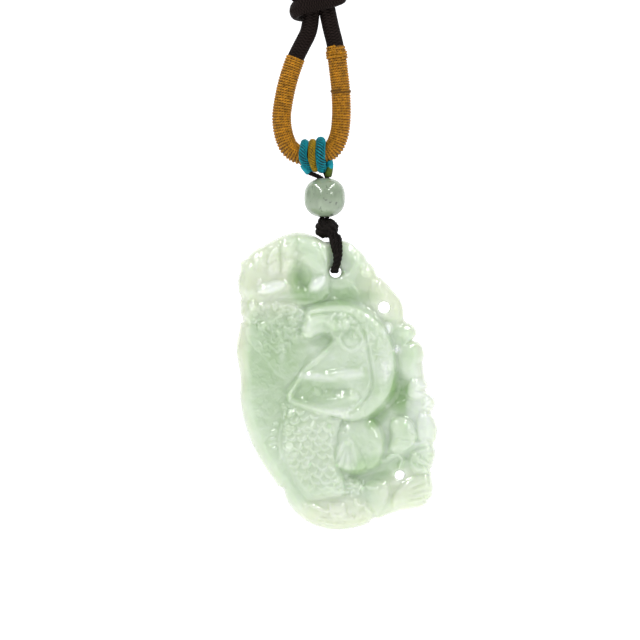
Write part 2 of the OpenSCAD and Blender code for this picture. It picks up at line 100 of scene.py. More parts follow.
class StoneSettings(bpy.types.PropertyGroup):
    front: length("Relief height", "Greatest height of the relief", 6.6)
    back: length("Back", "Thickness behind the middle plane", 3.9)
    rim: length("Rim", "Width of the rounding along the rim", 2.4)
    hole: length("Cord hole", "Bore of the cord hole", 2.3)
    rim_hole: length("Rim hole", "Bore of the pierced hole in the right rim", 2.3)
    low_hole: length("Low hole", "Bore of the pierced hole at the lower right", 2.0)
    rings: bpy.props.IntProperty(
        name="Fineness", description="Rings of the net over the stone", default=124, min=20
    )
    pale: colour("Pale jade", "Colour of the stone's plain surfaces", (0.58, 0.69, 0.52))
    # The green jade also lays painted shade into the deep cuts.
    green: colour("Green jade", "Colour of the stone's hollows", (0.24, 0.42, 0.15))
    # The white jade also paints highlights in a few zones.
    white: colour("White jade", "Colour of the stone's highest forms and of its painted highlights", (0.74, 0.79, 0.73))
    warm: colour("Warm jade", "Colour of the stone's upper left and its foot", (0.72, 0.755, 0.6))
    bead: colour("Bead", "Colour of the bead", (0.275, 0.34, 0.24))


class ThreadSettings(bpy.types.PropertyGroup):
    gold_d: length("Gold thread", "Thickness of the gold thread", 0.5)
    under: length("Gold under", "Distance from the cord's middle to the gold thread", 1.67)
    gold: colour("Gold", "Colour of the gold thread", (0.43, 0.19, 0.008))
    blue: colour("Blue", "Colour of the blue rings", (0.001, 0.24, 0.3))
    yellow: colour("Yellow", "Colour of the yellow ring", (0.38, 0.235, 0.006))
    green: colour("Olive", "Colour of the olive winding", (0.065, 0.1, 0.006))


class CordSettings(bpy.types.PropertyGroup):
    neck_d: length("Neck cord", "Diameter of the braided neck cord", 3.3)
    strand_d: length("Thin cord", "Diameter of one strand of the thin cord", 0.95)
    dark: colour("Dark cord", "Colour of the neck cord", (0.012, 0.008, 0.007))
    thin: colour("Thin cord", "Colour of the thin cord", (0.008, 0.006, 0.005))


class StageSettings(bpy.types.PropertyGroup):
    floor: length("Floor", "Height of the floor", -374.5)
    distance: length("Camera distance", "Distance from the camera to the stone", 1000)
    light: bpy.props.FloatProperty(
        name="Light", description="Power of the softboxes", default=1.0, min=0
    )


# ---------------------------------------------------------------- node trees


def both_ways(operation):
    """A Math operation and its reflected form."""
    return (
        lambda self, other: self.maths(operation, self, other),
        lambda self, other: self.maths(operation, other, self),
    )


class Value:
    """A number, vector or colour on its way through a node tree."""

    def __init__(self, tree, socket):
        self.tree, self.socket = tree, socket

    def maths(self, operation, *values):
        return self.tree.add("ShaderNodeMath", {"operation": operation}, *values).out()

    __add__, __radd__ = both_ways("ADD")
    __sub__, __rsub__ = both_ways("SUBTRACT")
    __mul__, __rmul__ = both_ways("MULTIPLY")
    __truediv__, __rtruediv__ = both_ways("DIVIDE")

    def floor(self):
        return self.maths("FLOOR", self)

    def fraction(self):
        return self.maths("FRACT", self)

    def cosine(self):
        return self.maths("COSINE", self)

    def sine(self):
        return self.maths("SINE", self)

    def modulo(self, other):
        return self.maths("FLOORED_MODULO", self, other)


class Step:
    """One node of a tree."""

    def __init__(self, tree, node):
        self.tree, self.node = tree, node

    def out(self, name=0):
        return Value(self.tree, self.node.outputs[name])


class Tree:
    """A node tree that is filled by adding nodes with their settings and inputs."""

    def __init__(self, nodes):
        self.nodes = nodes

    def feed(self, socket, value):
        """Links a value to a socket, or sets the socket to a plain number or colour."""
        if isinstance(value, Value):
            self.nodes.links.new(value.socket, socket)
        else:
            socket.default_value = value

    def add(self, kind, settings=None, /, *values, **named):
        """Adds a node. Its inputs come in order, or by name with _ for each space."""
        node = self.nodes.nodes.new(kind)
        for key, value in (settings or {}).items():
            setattr(node, key, value)
        inputs = dict(enumerate(values))
        inputs.update({key.replace("_", " "): value for key, value in named.items()})
        for key, value in inputs.items():
            self.feed(node.inputs[key], value)
        return Step(self, node)

    def vector(self, operation, *values, **named):
        """Vector Math on values."""
        return self.add("ShaderNodeVectorMath", {"operation": operation}, *values, **named).out()

    def mixed(self, share, first, second):
        """A colour between two others, each a value or a plain colour."""
        node = self.add("ShaderNodeMix", {"data_type": "RGBA"}, share).node
        for place, tone in ((6, first), (7, second)):
            self.feed(node.inputs[place], tone if isinstance(tone, Value) else (*tone, 1))
        return Value(self, node.outputs[2])


def geometry_tree(name, **sizes):
    """A tree with a geometry input, the named sizes with their defaults, and its outlet."""
    nodes = bpy.data.node_groups.new(name, "GeometryNodeTree")
    sockets = nodes.interface
    sockets.new_socket("Geometry", in_out="INPUT", socket_type="NodeSocketGeometry")
    kinds = {float: "NodeSocketFloat", int: "NodeSocketInt", type(None): "NodeSocketMaterial"}
    for label, default in sizes.items():
        socket = sockets.new_socket(
            label.replace("_", " "), in_out="INPUT", socket_type=kinds[type(default)]
        )
        if default is not None:
            socket.default_value = default
    sockets.new_socket("Geometry", in_out="OUTPUT", socket_type="NodeSocketGeometry")
    tree = Tree(nodes)
    return tree, tree.add("NodeGroupInput").out


def finish_tree(tree, given, mesh):
    """Ends a tree in a smooth mesh with its material."""
    shaded = tree.add("GeometryNodeSetShadeSmooth", Geometry=mesh)
    coloured = tree.add(
        "GeometryNodeSetMaterial", Geometry=shaded.out("Geometry"), Material=given("Material")
    )
    real = tree.add("GeometryNodeRealizeInstances", Geometry=coloured.out("Geometry"))
    tree.add("NodeGroupOutput", Geometry=real.out("Geometry"))
    return tree.nodes


def winding_group():
    """Turns a path into one or more paths that wind round it."""
    tree, given = geometry_tree(
        "Wind round a path", Radius=0.001, Pitch=0.001, Starts=1, Step=0.0002
    )
    copies = tree.add(
        "GeometryNodeDuplicateElements", {"domain": "SPLINE"},
        Geometry=given("Geometry"), Amount=given("Starts"),
    )
    path = tree.add(
        "GeometryNodeResampleCurve", {"mode": "LENGTH"},
        Curve=copies.out("Geometry"), Length=given("Step"),
    )
    along = tree.add("GeometryNodeSplineParameter").out("Length")
    start = copies.out("Duplicate Index") / given("Starts")
    angle = (along / given("Pitch") + start) * TURN
    tangent = tree.add("GeometryNodeInputTangent").out("Tangent")
    normal = tree.add("GeometryNodeInputNormal").out("Normal")
    side = tree.vector("CROSS_PRODUCT", tangent, normal)
    offset = tree.vector(
        "ADD",
        tree.vector("SCALE", normal, Scale=angle.cosine() * given("Radius")),
        tree.vector("SCALE", side, Scale=angle.sine() * given("Radius")),
    )
    moved = tree.add("GeometryNodeSetPosition", Geometry=path.out("Curve"), Offset=offset)
    tree.add("NodeGroupOutput", Geometry=moved.out("Geometry"))
    return tree.nodes


def thread_tree():
    """Twisted thread that winds round a path."""
    winding = winding_group()
    tree, given = geometry_tree(
        "Thread wound round a path", Core_Radius=0.001, Pitch=0.001, Starts=1,
        Thread_Radius=0.0002, Plies=2, Ply_Pitch=0.001, Core_Step=0.0002, Ply_Step=0.0002,
        Sides=6, Material=None,
    )
    path = tree.add("GeometryNodeMeshToCurve", Mesh=given("Geometry"))
    thread = tree.add(
        "GeometryNodeGroup", {"node_tree": winding}, Geometry=path.out("Curve"),
        Radius=given("Core Radius"), Pitch=given("Pitch"), Starts=given("Starts"),
        Step=given("Core Step"),
    )
    ply_radius = given("Thread Radius") * 0.5
    plies = tree.add(
        "GeometryNodeGroup", {"node_tree": winding}, Geometry=thread.out("Geometry"),
        Radius=ply_radius, Pitch=given("Ply Pitch"), Starts=given("Plies"),
        Step=given("Ply Step"),
    )
    ply = tree.add(
        "GeometryNodeCurvePrimitiveCircle", {"mode": "RADIUS"},
        Resolution=given("Sides"), Radius=ply_radius,
    )
    swept = tree.add(
        "GeometryNodeCurveToMesh", Curve=plies.out("Geometry"), Profile_Curve=ply.out("Curve"),
        Fill_Caps=True,
    )
    return finish_tree(tree, given, swept.out("Mesh"))


def tube_tree(upright=False):
    """Cord along a path, with a UV map: u once round, v along in cord widths."""
    tree, given = geometry_tree(
        "Cord along a path" + (" upright" if upright else ""),
        Half_Width=0.001, Half_Depth=0.001, Sides=16, Material=None,
    )

    def measured(curve, by):
        """A curve that keeps its length or share at each point, and what it keeps."""
        kept = tree.add("GeometryNodeCaptureAttribute", {"domain": "POINT"})
        kept.node.capture_items.new("FLOAT", by)
        tree.feed(kept.node.inputs["Geometry"], curve)
        tree.feed(kept.node.inputs[by], tree.add("GeometryNodeSplineParameter").out(by))
        return kept.out("Geometry"), kept.out(by)

    path = tree.add("GeometryNodeMeshToCurve", Mesh=given("Geometry"))
    turned = tree.add(
        "GeometryNodeSetCurveNormal", {"mode": "Z_UP" if upright else "MINIMUM_TWIST"},
        Curve=path.out("Curve"),
    )
    middle, along = measured(turned.out("Curve"), "Length")
    circle = tree.add(
        "GeometryNodeCurveArc", {"mode": "RADIUS"}, Resolution=given("Sides") + 1, Radius=1.0,
        Start_Angle=0.0, Sweep_Angle=TURN,
    )
    size = tree.add(
        "ShaderNodeCombineXYZ", X=given("Half Width"), Y=given("Half Depth"), Z=1.0
    ).out()
    scaled = tree.add("GeometryNodeTransform", Geometry=circle.out("Curve"), Scale=size)
    profile, share = measured(scaled.out("Geometry"), "Factor")
    swept = tree.add("GeometryNodeCurveToMesh", Curve=middle, Profile_Curve=profile)
    uv = tree.add("ShaderNodeCombineXYZ", X=share, Y=along / (given("Half Width") * 2)).out()
    stored = tree.add(
        "GeometryNodeStoreNamedAttribute", {"data_type": "FLOAT2", "domain": "CORNER"},
        Geometry=swept.out("Mesh"), Name="UVMap", Value=uv,
    )
    closed = tree.add(
        "GeometryNodeMergeByDistance", Geometry=stored.out("Geometry"), Distance=1e-6
    )
    return finish_tree(tree, given, closed.out("Geometry"))


TREES = {}


def tree_named(name):
    """Makes each tree once."""
    if name not in TREES:
        TREES[name] = thread_tree() if name == "thread" else tube_tree(name == "upright tube")
    return TREES[name]


# ---------------------------------------------------------------- pieces and routes


def placed(name, mesh):
    """Puts a finished mesh into the scene as a piece."""
    mesh.name = name
    piece = bpy.data.objects.new(name, mesh)
    bpy.context.scene.collection.objects.link(piece)
    return piece


def settle(piece, body, node):
    """Says what a finished piece rides on, and hides the solid it stands for."""
    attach(piece, body)
    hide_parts(node)


def made_along(name, kind, paths, slot, node, **sizes):
    """A plain mesh piece that a tree makes from paths in mm, with its sizes by name."""
    tree = tree_named(kind)
    host = bpy.data.meshes.new(name + " path")
    points, edges = [], []
    for path in paths:
        first = len(points)
        points += [(p[0] * MM, p[1] * MM if len(p) == 3 else 0, p[-1] * MM) for p in path]
        edges += [(i, i + 1) for i in range(first, len(points) - 1)]
    host.from_pydata(points, edges, [])
    maker = bpy.data.objects.new(name + " maker", host)
    bpy.context.scene.collection.objects.link(maker)
    modifier = maker.modifiers.new("shape", "NODES")
    modifier.node_group = tree
    labels = {
        item.name: item.identifier
        for item in tree.interface.items_tree
        if item.item_type == "SOCKET" and item.in_out == "INPUT"
    }
    for label, value in sizes.items():
        modifier[labels[label.replace("_", " ")]] = value
    graph = bpy.context.evaluated_depsgraph_get()
    mesh = bpy.data.meshes.new_from_object(
        maker.evaluated_get(graph), preserve_all_data_layers=True, depsgraph=graph
    )
    bpy.data.objects.remove(maker)
    bpy.data.meshes.remove(host)
    settle(placed(name, mesh), CORD_BODY, node)


def tube(name, path, half, sides, material, slot, node, kind="tube", depth=None):
    """A plain cord along a path."""
    made_along(
        name, kind, [path], slot, node,
        Half_Width=half, Half_Depth=depth or half, Sides=sides, Material=material,
    )


def smooth_route(points, step_mm):
    """The smooth curve through route points, as the solids follow it, in small steps."""
    p = [np.array(q, float) for q in points]

    def heading(i):
        if i in (0, len(p) - 1):
            d = p[1] - p[0] if i == 0 else p[-1] - p[-2]
            return d / np.linalg.norm(d)
        before, after = p[i] - p[i - 1], p[i + 1] - p[i]
        a, b = np.linalg.norm(before), np.linalg.norm(after)
        return (before / a * b + after / b * a) / (a + b)

    route = []
    for i in range(len(p) - 1):
        d = np.linalg.norm(p[i + 1] - p[i])
        m, n = heading(i) * d, heading(i + 1) * d
        count = max(1, round(d / step_mm))
        for k in range(count):
            t = k / count
            route.append(
                (2 * t**3 - 3 * t**2 + 1) * p[i]
                + (t**3 - 2 * t**2 + t) * m
                + (3 * t**2 - 2 * t**3) * p[i + 1]
                + (t**3 - t**2) * n
            )
    route.append(p[-1])
    return np.array(route)


def turn_of_cord(middle, across, deep, radius):
    """A round turn in the plane of two directions."""
    middle, across, deep = (np.array(v, float) for v in (middle, across, deep))
    across, deep = across / np.linalg.norm(across), deep / np.linalg.norm(deep)
    return [
        tuple(middle + radius * (math.cos(t) * across + math.sin(t) * deep))
        for t in np.linspace(0, TURN, 49)
    ]


# ---------------------------------------------------------------- finishes


class Finish(Tree):
    """The node tree of a material."""

    def __init__(self, name):
        self.material = bpy.data.materials.new(name)
        self.material.use_nodes = True
        super().__init__(self.material.node_tree)

    def noise(self, scale, detail, distortion=0.0):
        place = self.add("ShaderNodeTexCoord").out("Object")
        return self.add(
            "ShaderNodeTexNoise", Vector=place, Scale=scale, Detail=detail, Distortion=distortion
        ).out("Fac")

    def portion(self, value, low, high, most):
        """0 where a value is low, rising to most where it is high."""
        return self.add(
            "ShaderNodeMapRange", {"clamp": True},
            Value=value, From_Min=low, From_Max=high, To_Min=0.0, To_Max=most,
        ).out("Result")

    def bump(self, strength, distance, height):
        return self.add(
            "ShaderNodeBump", Strength=strength, Distance=distance, Height=height
        ).out("Normal")

    def done(self, **inputs):
        """Feeds the shader's inputs and gives the finished material."""
        shader = self.nodes.nodes["Principled BSDF"]
        for key, value in inputs.items():
            self.feed(shader.inputs[key.replace("_", " ")], value)
        return self.material


def shades(tone, *shares):
    """Darker and lighter shades of a colour."""
    return [tuple(min(1, c * share) for c in tone) for share in shares]


def thread_finish(name, tone, rough=0.5, gleam=0.25, metal=0.0):
    """Twisted thread with dark and light fibres."""
    tree = Finish(name)
    return tree.done(
        Base_Color=tree.mixed(tree.noise(1500.0, 1.0), *shades(tone, 0.1, 2)),
        Metallic=metal,
        Normal=tree.bump(0.35, 0.00006, tree.noise(6000.0, 1.0)),
        Roughness=rough,
        Specular_IOR_Level=gleam,
    )


def braid_finish(name, tone):
    """Braid of strands that cross over and under, read from the cord's UV map."""
    strands, slope = 6.0, 1.1
    tree = Finish(name)
    uv = tree.add("ShaderNodeUVMap", {"uv_map": "UVMap"}).out("UV")
    parts = tree.add("ShaderNodeSeparateXYZ", Vector=uv)
    u = parts.out("X") * strands
    v = parts.out("Y") * strands / slope
    one, two = u + v, u - v

    def crown(way):
        side = way.fraction() * 2.0 - 1.0
        return 1.0 - side * side

    over = (one.floor() + two.floor()).modulo(2.0)
    height = crown(one) * over + crown(two) * (1.0 - over)
    return tree.done(
        Normal=tree.bump(0.9, 0.00022, height),
        # The colour follows the strands' height: painted shade between the strands and a painted
        # highlight on their crowns.
        Base_Color=tree.mixed(height, *shades(tone, 0.35, 1.5)),
        Roughness=0.65,
        Specular_IOR_Level=0.04,
    )


def stone_finish(name, white):
    """Polished jade: its colour, painted shade and highlights included, is the stone's own
    attribute, clouded with white.
    """
    tree = Finish(name)
    tint_and_painted_light = tree.add(
        "ShaderNodeAttribute", {"attribute_type": "GEOMETRY", "attribute_name": "tint_and_painted_light"}
    ).out("Color")
    share = tree.portion(tree.noise(170.0, 4.0, 0.8), 0.45, 0.75, 0.3)
    return tree.done(
        Base_Color=tree.mixed(share, tint_and_painted_light, white),
        Normal=tree.bump(0.3, 0.0001, tree.noise(450.0, 2.0)),
        Roughness=0.13,
        IOR=1.6,
        Specular_IOR_Level=0.7,
        Coat_Weight=0.5,
        Coat_Roughness=0.04,
        Subsurface_Weight=1.0,
        Subsurface_Radius=(0.95, 1.0, 0.75),
        Subsurface_Scale=0.0045,
    )


def bead_finish(name, tone):
    """Glassy jade with clouds and dark flecks."""
    tree = Finish(name)
    dark, light, deep = shades(tone, 0.72, 1.5, 0.25)
    clouded = tree.mixed(tree.noise(260.0, 3.0, 1.2), dark, light)
    fleck = tree.portion(tree.noise(1100.0, 1.0), 0.66, 0.74, 0.6)
    return tree.done(
        Base_Color=tree.mixed(fleck, clouded, deep),
        Roughness=0.06,
        IOR=1.6,
        Specular_IOR_Level=0.7,
        Coat_Weight=0.3,
        Transmission_Weight=0.12,
        Subsurface_Weight=0.8,
        Subsurface_Radius=(0.9, 1.0, 0.8),
        Subsurface_Scale=0.002,
    )


def pale_finish(name, grey, rough, glow):
    """Plain pale surface with a glow of its own."""
    tone = (grey, grey, grey, 1)
    return Finish(name).done(
        Base_Color=tone, Roughness=rough, Emission_Color=tone, Emission_Strength=glow
    )


# ---------------------------------------------------------------- the carving

# Everything in these tables is in mm from the stone's middle, across and up.
# Carved plates: height of the top, slope of the top across, drop at the edge, width of the
# rounding, then the corners of the outline
PLATES = [
    (4.3, 0, 0.5, 2, (-2.5, -5.5), (2.5, -6), (5, -8), (5.5, -12), (2, -17), (2.5, -19),
     (-2.5, -19), (-2.5, -12)),
    (4.1, 0, 1, 3, (-8, -18), (-1, -18.6), (2, -19.6), (8.5, -19.4), (9.5, -21), (8, -25),
     (5, -29), (-4, -30), (-8, -26)),
    (3.5, 0, 0.7, 2, (9.8, 12.8), (14, 13.5), (16.8, 9), (18.6, 2), (18.2, 0), (12.4, 0.5),
     (10.4, 6), (9.6, 9.5)),
    (4.4, 0.02, 0.75, 4, (-21, 11.5), (-17.6, 11.6), (-13.5, 10.5), (-7, 10.8), (-3.4, 11.6),
     (0.4, 11), (0.6, 8), (-1, 3), (-1, -1), (-2, -4), (-4, -14), (-3, -18.5), (-1, -23),
     (0, -27.5), (-12, -28), (-20, -14), (-23, -2)),
    (4.5, 0.01, 0.12, 3, (-17.8, 14.2), (-14.5, 15.6), (-9, 15.7), (-6.1, 13.6), (-6.4, 10.8),
     (-5, 8.6), (-6.8, 3.3), (-8.8, 1), (-11.4, 1.2), (-14.2, 5.4), (-17, 7.8), (-18, 11)),
    (3.4, 0, 0.75, 1.2, (-19.6, 16.8), (-17, 17), (-16.2, 14.6), (-17, 12.2), (-19.8, 12.6)),
    (4.1, 0, 0.6, 2, (-18.4, 15), (-18.2, 22.5), (-16.5, 26), (-13.5, 28), (-10, 29.4), (-5, 30.2),
     (-1.6, 28.6), (-1.4, 22), (-1.8, 15)),
    (3.9, 0, 0.6, 2, (-18.8, 22.4), (-16.7, 26.4), (-14.2, 27.4), (-13.8, 22.6), (-14.2, 21.1),
     (-17.5, 21.3)),
    (3.6, 0, 0.7, 2, (-20, 20.2), (-19, 22.2), (-17.2, 21.9), (-15.8, 20.6), (-16, 18.3),
     (-18.6, 17.2)),
    (4.5, 0, 0.6, 1.6, (-13.5, 21.8), (-13.7, 25), (-12.8, 27.8), (-11, 28.6), (-11, 24.5),
     (-11.3, 21.4)),
    (4.8, 0, 0.6, 1.8, (-10.9, 21.6), (-10.9, 27.5), (-9.8, 29.2), (-7.8, 29), (-7.6, 25.5),
     (-7.8, 23.5), (-8.7, 21.6)),
    (5.1, 0, 1, 3.4, (-7.8, 23.8), (-7.8, 29), (-5.5, 30.5), (-2.5, 30), (-0.8, 28), (-1.3, 25.5),
     (-2, 23), (-2.1, 21.3), (-3.5, 21.3), (-5.6, 22.7)),
    (3.2, 0, 0.52, 1.6, (-2.6, 30), (0.2, 29.8), (2.6, 29.2), (4.6, 26.5), (5.3, 24.5),
     (4.7, 22.8), (4.2, 20.5), (3.2, 18.4), (0, 17.9), (-2, 18.4), (-2.4, 21)),
    (5.3, 0, 1.27, 1.5, (-5.5, 18), (-5.5, 19.6), (-4.3, 20.8), (-2.1, 21.3), (-1.9, 20),
     (-3, 18.1), (-4.4, 17.6)),
    (5.3, 0, 1.1, 1.1, (-15.9, 17.4), (-14.9, 19), (-11.8, 20.2), (-9.8, 20), (-9.8, 18.6),
     (-12.9, 17.2)),
    (4.3, 0, 0.75, 0.9, (-10.5, 19.9), (-9.6, 20.4), (-8.7, 19.6), (-8.9, 18.4), (-10, 18.3)),
    (4.8, 0, 0.68, 0.5, (-15.6, 20.3), (-14.8, 20.4), (-14.7, 19.4), (-15.4, 19.2)),
    (5.1, 0, 0.9, 0.6, (-17, 14.3), (-16.9, 15.7), (-16.1, 16.3), (-15.8, 15.2), (-16.4, 14.1)),
    (6, 0.02, 1.1, 1.9, (-5.4, 14.4), (-2.3, 15.1), (0.3, 15.4), (2.2, 15.2), (4.2, 14.5),
     (5.9, 13.6), (7.4, 12.4), (8.8, 11), (9.8, 9.2), (10.6, 7.2), (11, 5), (11.1, 2.5), (10.9, 0),
     (10.3, -1.6), (9.3, -3.2), (8.1, -4.6), (6.7, -5.9), (5, -6.8), (3, -7.1), (1, -7),
     (-0.8, -6.6), (-3.4, -6.2), (-6.2, -5), (-9.6, -3.6), (-9.7, -1.8), (-8.9, -1.1), (-6.8, 2.9),
     (-3.8, 5.5), (-0.9, 8), (-1, 9.7), (-3.2, 9.9), (-4.6, 8.8), (-6.4, 8.9), (-7.1, 10.6),
     (-6.3, 12.9)),
    (5.3, 0.06, 0.9, 3, (-10.5, -2.6), (-6, -2), (1, -2.6), (1.5, -6), (0.2, -8.5), (-0.2, -12),
     (0.2, -16), (1.2, -18.5), (1.6, -21.6), (-2.5, -22.4), (-6.2, -22.6), (-8, -19.4),
     (-9.8, -16.6), (-11, -14.4), (-11.3, -11.7), (-11.2, -8), (-10.9, -5.6)),
    (5.7, 0, 1.6, 3.2, (2, -7.1), (4.2, -6.8), (6.4, -6.5), (7.7, -8), (8.7, -9.8), (9, -11.8),
     (8.7, -14.4), (7.4, -16.4), (5.2, -16.8), (2.6, -16.2), (0.4, -14.6), (-0.4, -11.6),
     (0.2, -8.6)),
    (5.9, 0, 0.9, 1.2, (1.9, -10.2), (0.4, -11.5), (-0.3, -13.5), (-0.3, -15.9), (1.2, -16.8),
     (3.6, -17), (5.6, -16.5), (6, -15.2), (5.2, -13.4), (4.4, -12), (3.8, -10.7), (3, -9.8)),
    (4.8, 0, 1.3, 2.4, (10.2, -7.8), (11.1, -6.6), (12.6, -6.3), (14.3, -7.1), (15.2, -8.8),
     (15.4, -10.8), (14.5, -12.4), (11.3, -13.5), (10, -13), (10.8, -10.4)),
    (3.9, 0, 0.7, 2.4, (15.6, -6.2), (17.6, -5.3), (20, -6.6), (20.4, -9.2), (19.4, -11.5),
     (16.6, -11.5), (15.4, -10)),
    (4.2, 0, 1, 2.4, (13.6, -0.6), (14.2, 1), (15.6, 1.7), (17.4, 0.8), (17.8, -1.2), (16.8, -2.8),
     (14.8, -3.2), (13.4, -2.2)),
    (3.8, 0, 0.8, 1.6, (16.4, -3.6), (17.4, -1.5), (18.8, -1), (19.5, -3.6), (18.6, -6),
     (16.9, -5.8)),
    (3.8, 0, 0.6, 1.6, (14.3, -13.4), (16.6, -12.6), (19.4, -12.3), (19.9, -15), (19.2, -17.2),
     (15.3, -17.6), (14, -15.6)),
    (4, -0.04, 0.9, 1.1, (14, -18.3), (16.3, -17.6), (19.4, -17.8), (19.6, -22.8), (18.4, -24.2),
     (15, -25.6), (11.3, -25.6), (10.5, -23.2), (11.3, -20.9)),
    (4.1, 0, 1, 2.5, (5.1, -19.6), (7.3, -18.6), (9.5, -18.9), (10.4, -20.4), (10, -22.4),
     (8.4, -24.8), (7.2, -27.2), (6.2, -25.2), (5.1, -23.4), (4.4, -21.4)),
    (4.4, 0, 0.5, 2, (-6.6, -21.5), (-4, -21), (-1.4, -20.6), (1.4, -20.6), (3.9, -21.2),
     (5.6, -22.6), (6.8, -25), (7.2, -27), (5, -30), (0, -31), (-3, -30), (-6.4, -26)),
    (5.1, 0, 0.6, 1, (-1.5, -23.2), (1.6, -23.1), (2, -25.4), (0.3, -26.5), (-1.4, -25.9)),
    (4.4, 0, 0.9, 2, (0.4, -18.2), (2.4, -18), (4.9, -19.2), (5.3, -21.2), (3.2, -22.3),
     (0.8, -22)),
    (3.6, 0, 0.6, 2.4, (7.6, 21.6), (10.4, 20.4), (12.4, 17.8), (13.6, 15.2), (14, 13.9),
     (13.6, 12.6), (11.5, 12.2), (9.4, 12.3), (7.9, 13.8), (6.2, 16.2), (6.2, 18.8)),
    (3.7, 0, 0.5, 2.2, (11.9, 12.3), (14.4, 12.6), (15.8, 10.9), (15.4, 8.9), (13, 8.3),
     (11.6, 9.2), (11.2, 10.9)),
    (3.9, 0, 0.7, 2.8, (11.7, 8), (13.4, 8.6), (15.6, 8.2), (17.4, 5.2), (18, 2.4), (17.6, 0.9),
     (14.8, 0.9), (12.9, 1.8), (11.9, 4)),
    (3.8, 0, 0.7, 1.2, (4.4, 21.6), (4.7, 22.9), (5.8, 23.4), (6.9, 22.6), (6.8, 21.2),
     (5.6, 20.7)),
    (3.5, 0, 0.75, 0.6, (6.4, 22.6), (7, 23.8), (8, 23.4), (7.9, 22.1), (7, 21.9)),
    (4.9, 0, 0.9, 0.6, (9.2, 10.8), (9.7, 11.8), (10.5, 11.4), (10.6, 10.2), (10, 9.5)),
    (4.7, 0, 0.83, 0.5, (10.9, 6.9), (11.4, 7.3), (12, 6.9), (11.9, 6.2), (11.2, 6.1)),
]
# Parts cut down to a level: the level, the width of the slope at the edge, then the corners
CUTS = [
    (5.1, 2.8, (-4.5, 8.8), (-3.2, 10.9), (-1, 10.5), (-0.5, 8.5), (-3.6, 5.8), (-6.6, 3.2),
     (-7.4, 4.4), (-5.6, 7.4)),
    (4.85, 2.4, (-9.1, -2.3), (-7.6, -0.4), (-5.3, 0.8), (-2.3, 1), (0.2, 0.9), (2.6, 0.3),
     (3.1, -0.9), (2.5, -2.3), (0.2, -3.3), (-2, -3.6), (-4.8, -3.9), (-7.4, -3.7)),
    (2.7, 1.8, (11.1, 3), (12.7, 2.6), (14, 1), (13.9, -1), (13.9, -3.4), (11.5, -5.2), (9, -6.4),
     (7.2, -6.6), (8.8, -4.8), (10.4, -2.2), (11.1, 0)),
    (3.1, 1.8, (8.6, -6.7), (11, -4.4), (13.6, -4), (15.2, -5), (14.4, -6.8), (11.4, -6.2),
     (9.9, -8.2), (9.6, -12.6), (9.2, -15.4), (8.6, -14), (8.9, -10)),
    (3.7, 2, (-16, 17.4), (-8, 17.3), (-5.6, 17.9), (-2, 17.5), (1.4, 17.5), (4.4, 16.6),
     (7, 14.4), (8.4, 12.6), (9.4, 10.6), (8.8, 11.1), (6, 13.8), (2.2, 15.5), (-2.3, 15.4),
     (-5.2, 15.3), (-8.2, 15.9), (-14.6, 15.9)),
    (3.2, 1.6, (-8.4, 23.4), (-6.2, 23.3), (-5.4, 21.4), (-5.2, 17.8), (-8.4, 17.8), (-9, 21)),
    (2.7, 2, (2, -17), (5.6, -17), (8.4, -16), (10.4, -14.6), (11, -16.6), (10.6, -18.4),
     (8.2, -18.2), (5.4, -18.8), (2.2, -17.8)),
    (2.5, 0.6, (12.9, -13.9), (13.9, -13.8), (14, -15.2), (13.2, -15.2)),
    (2.5, 1.3, (-2.1, 20.8), (1.8, 20), (3.9, 23.5), (5.2, 27), (6.2, 31), (-2.8, 31), (-2.2, 24)),
    (4.6, 0.5, (0.4, -8.6), (0.9, -9.6), (1.9, -9.4), (1.9, -8.9)),
]
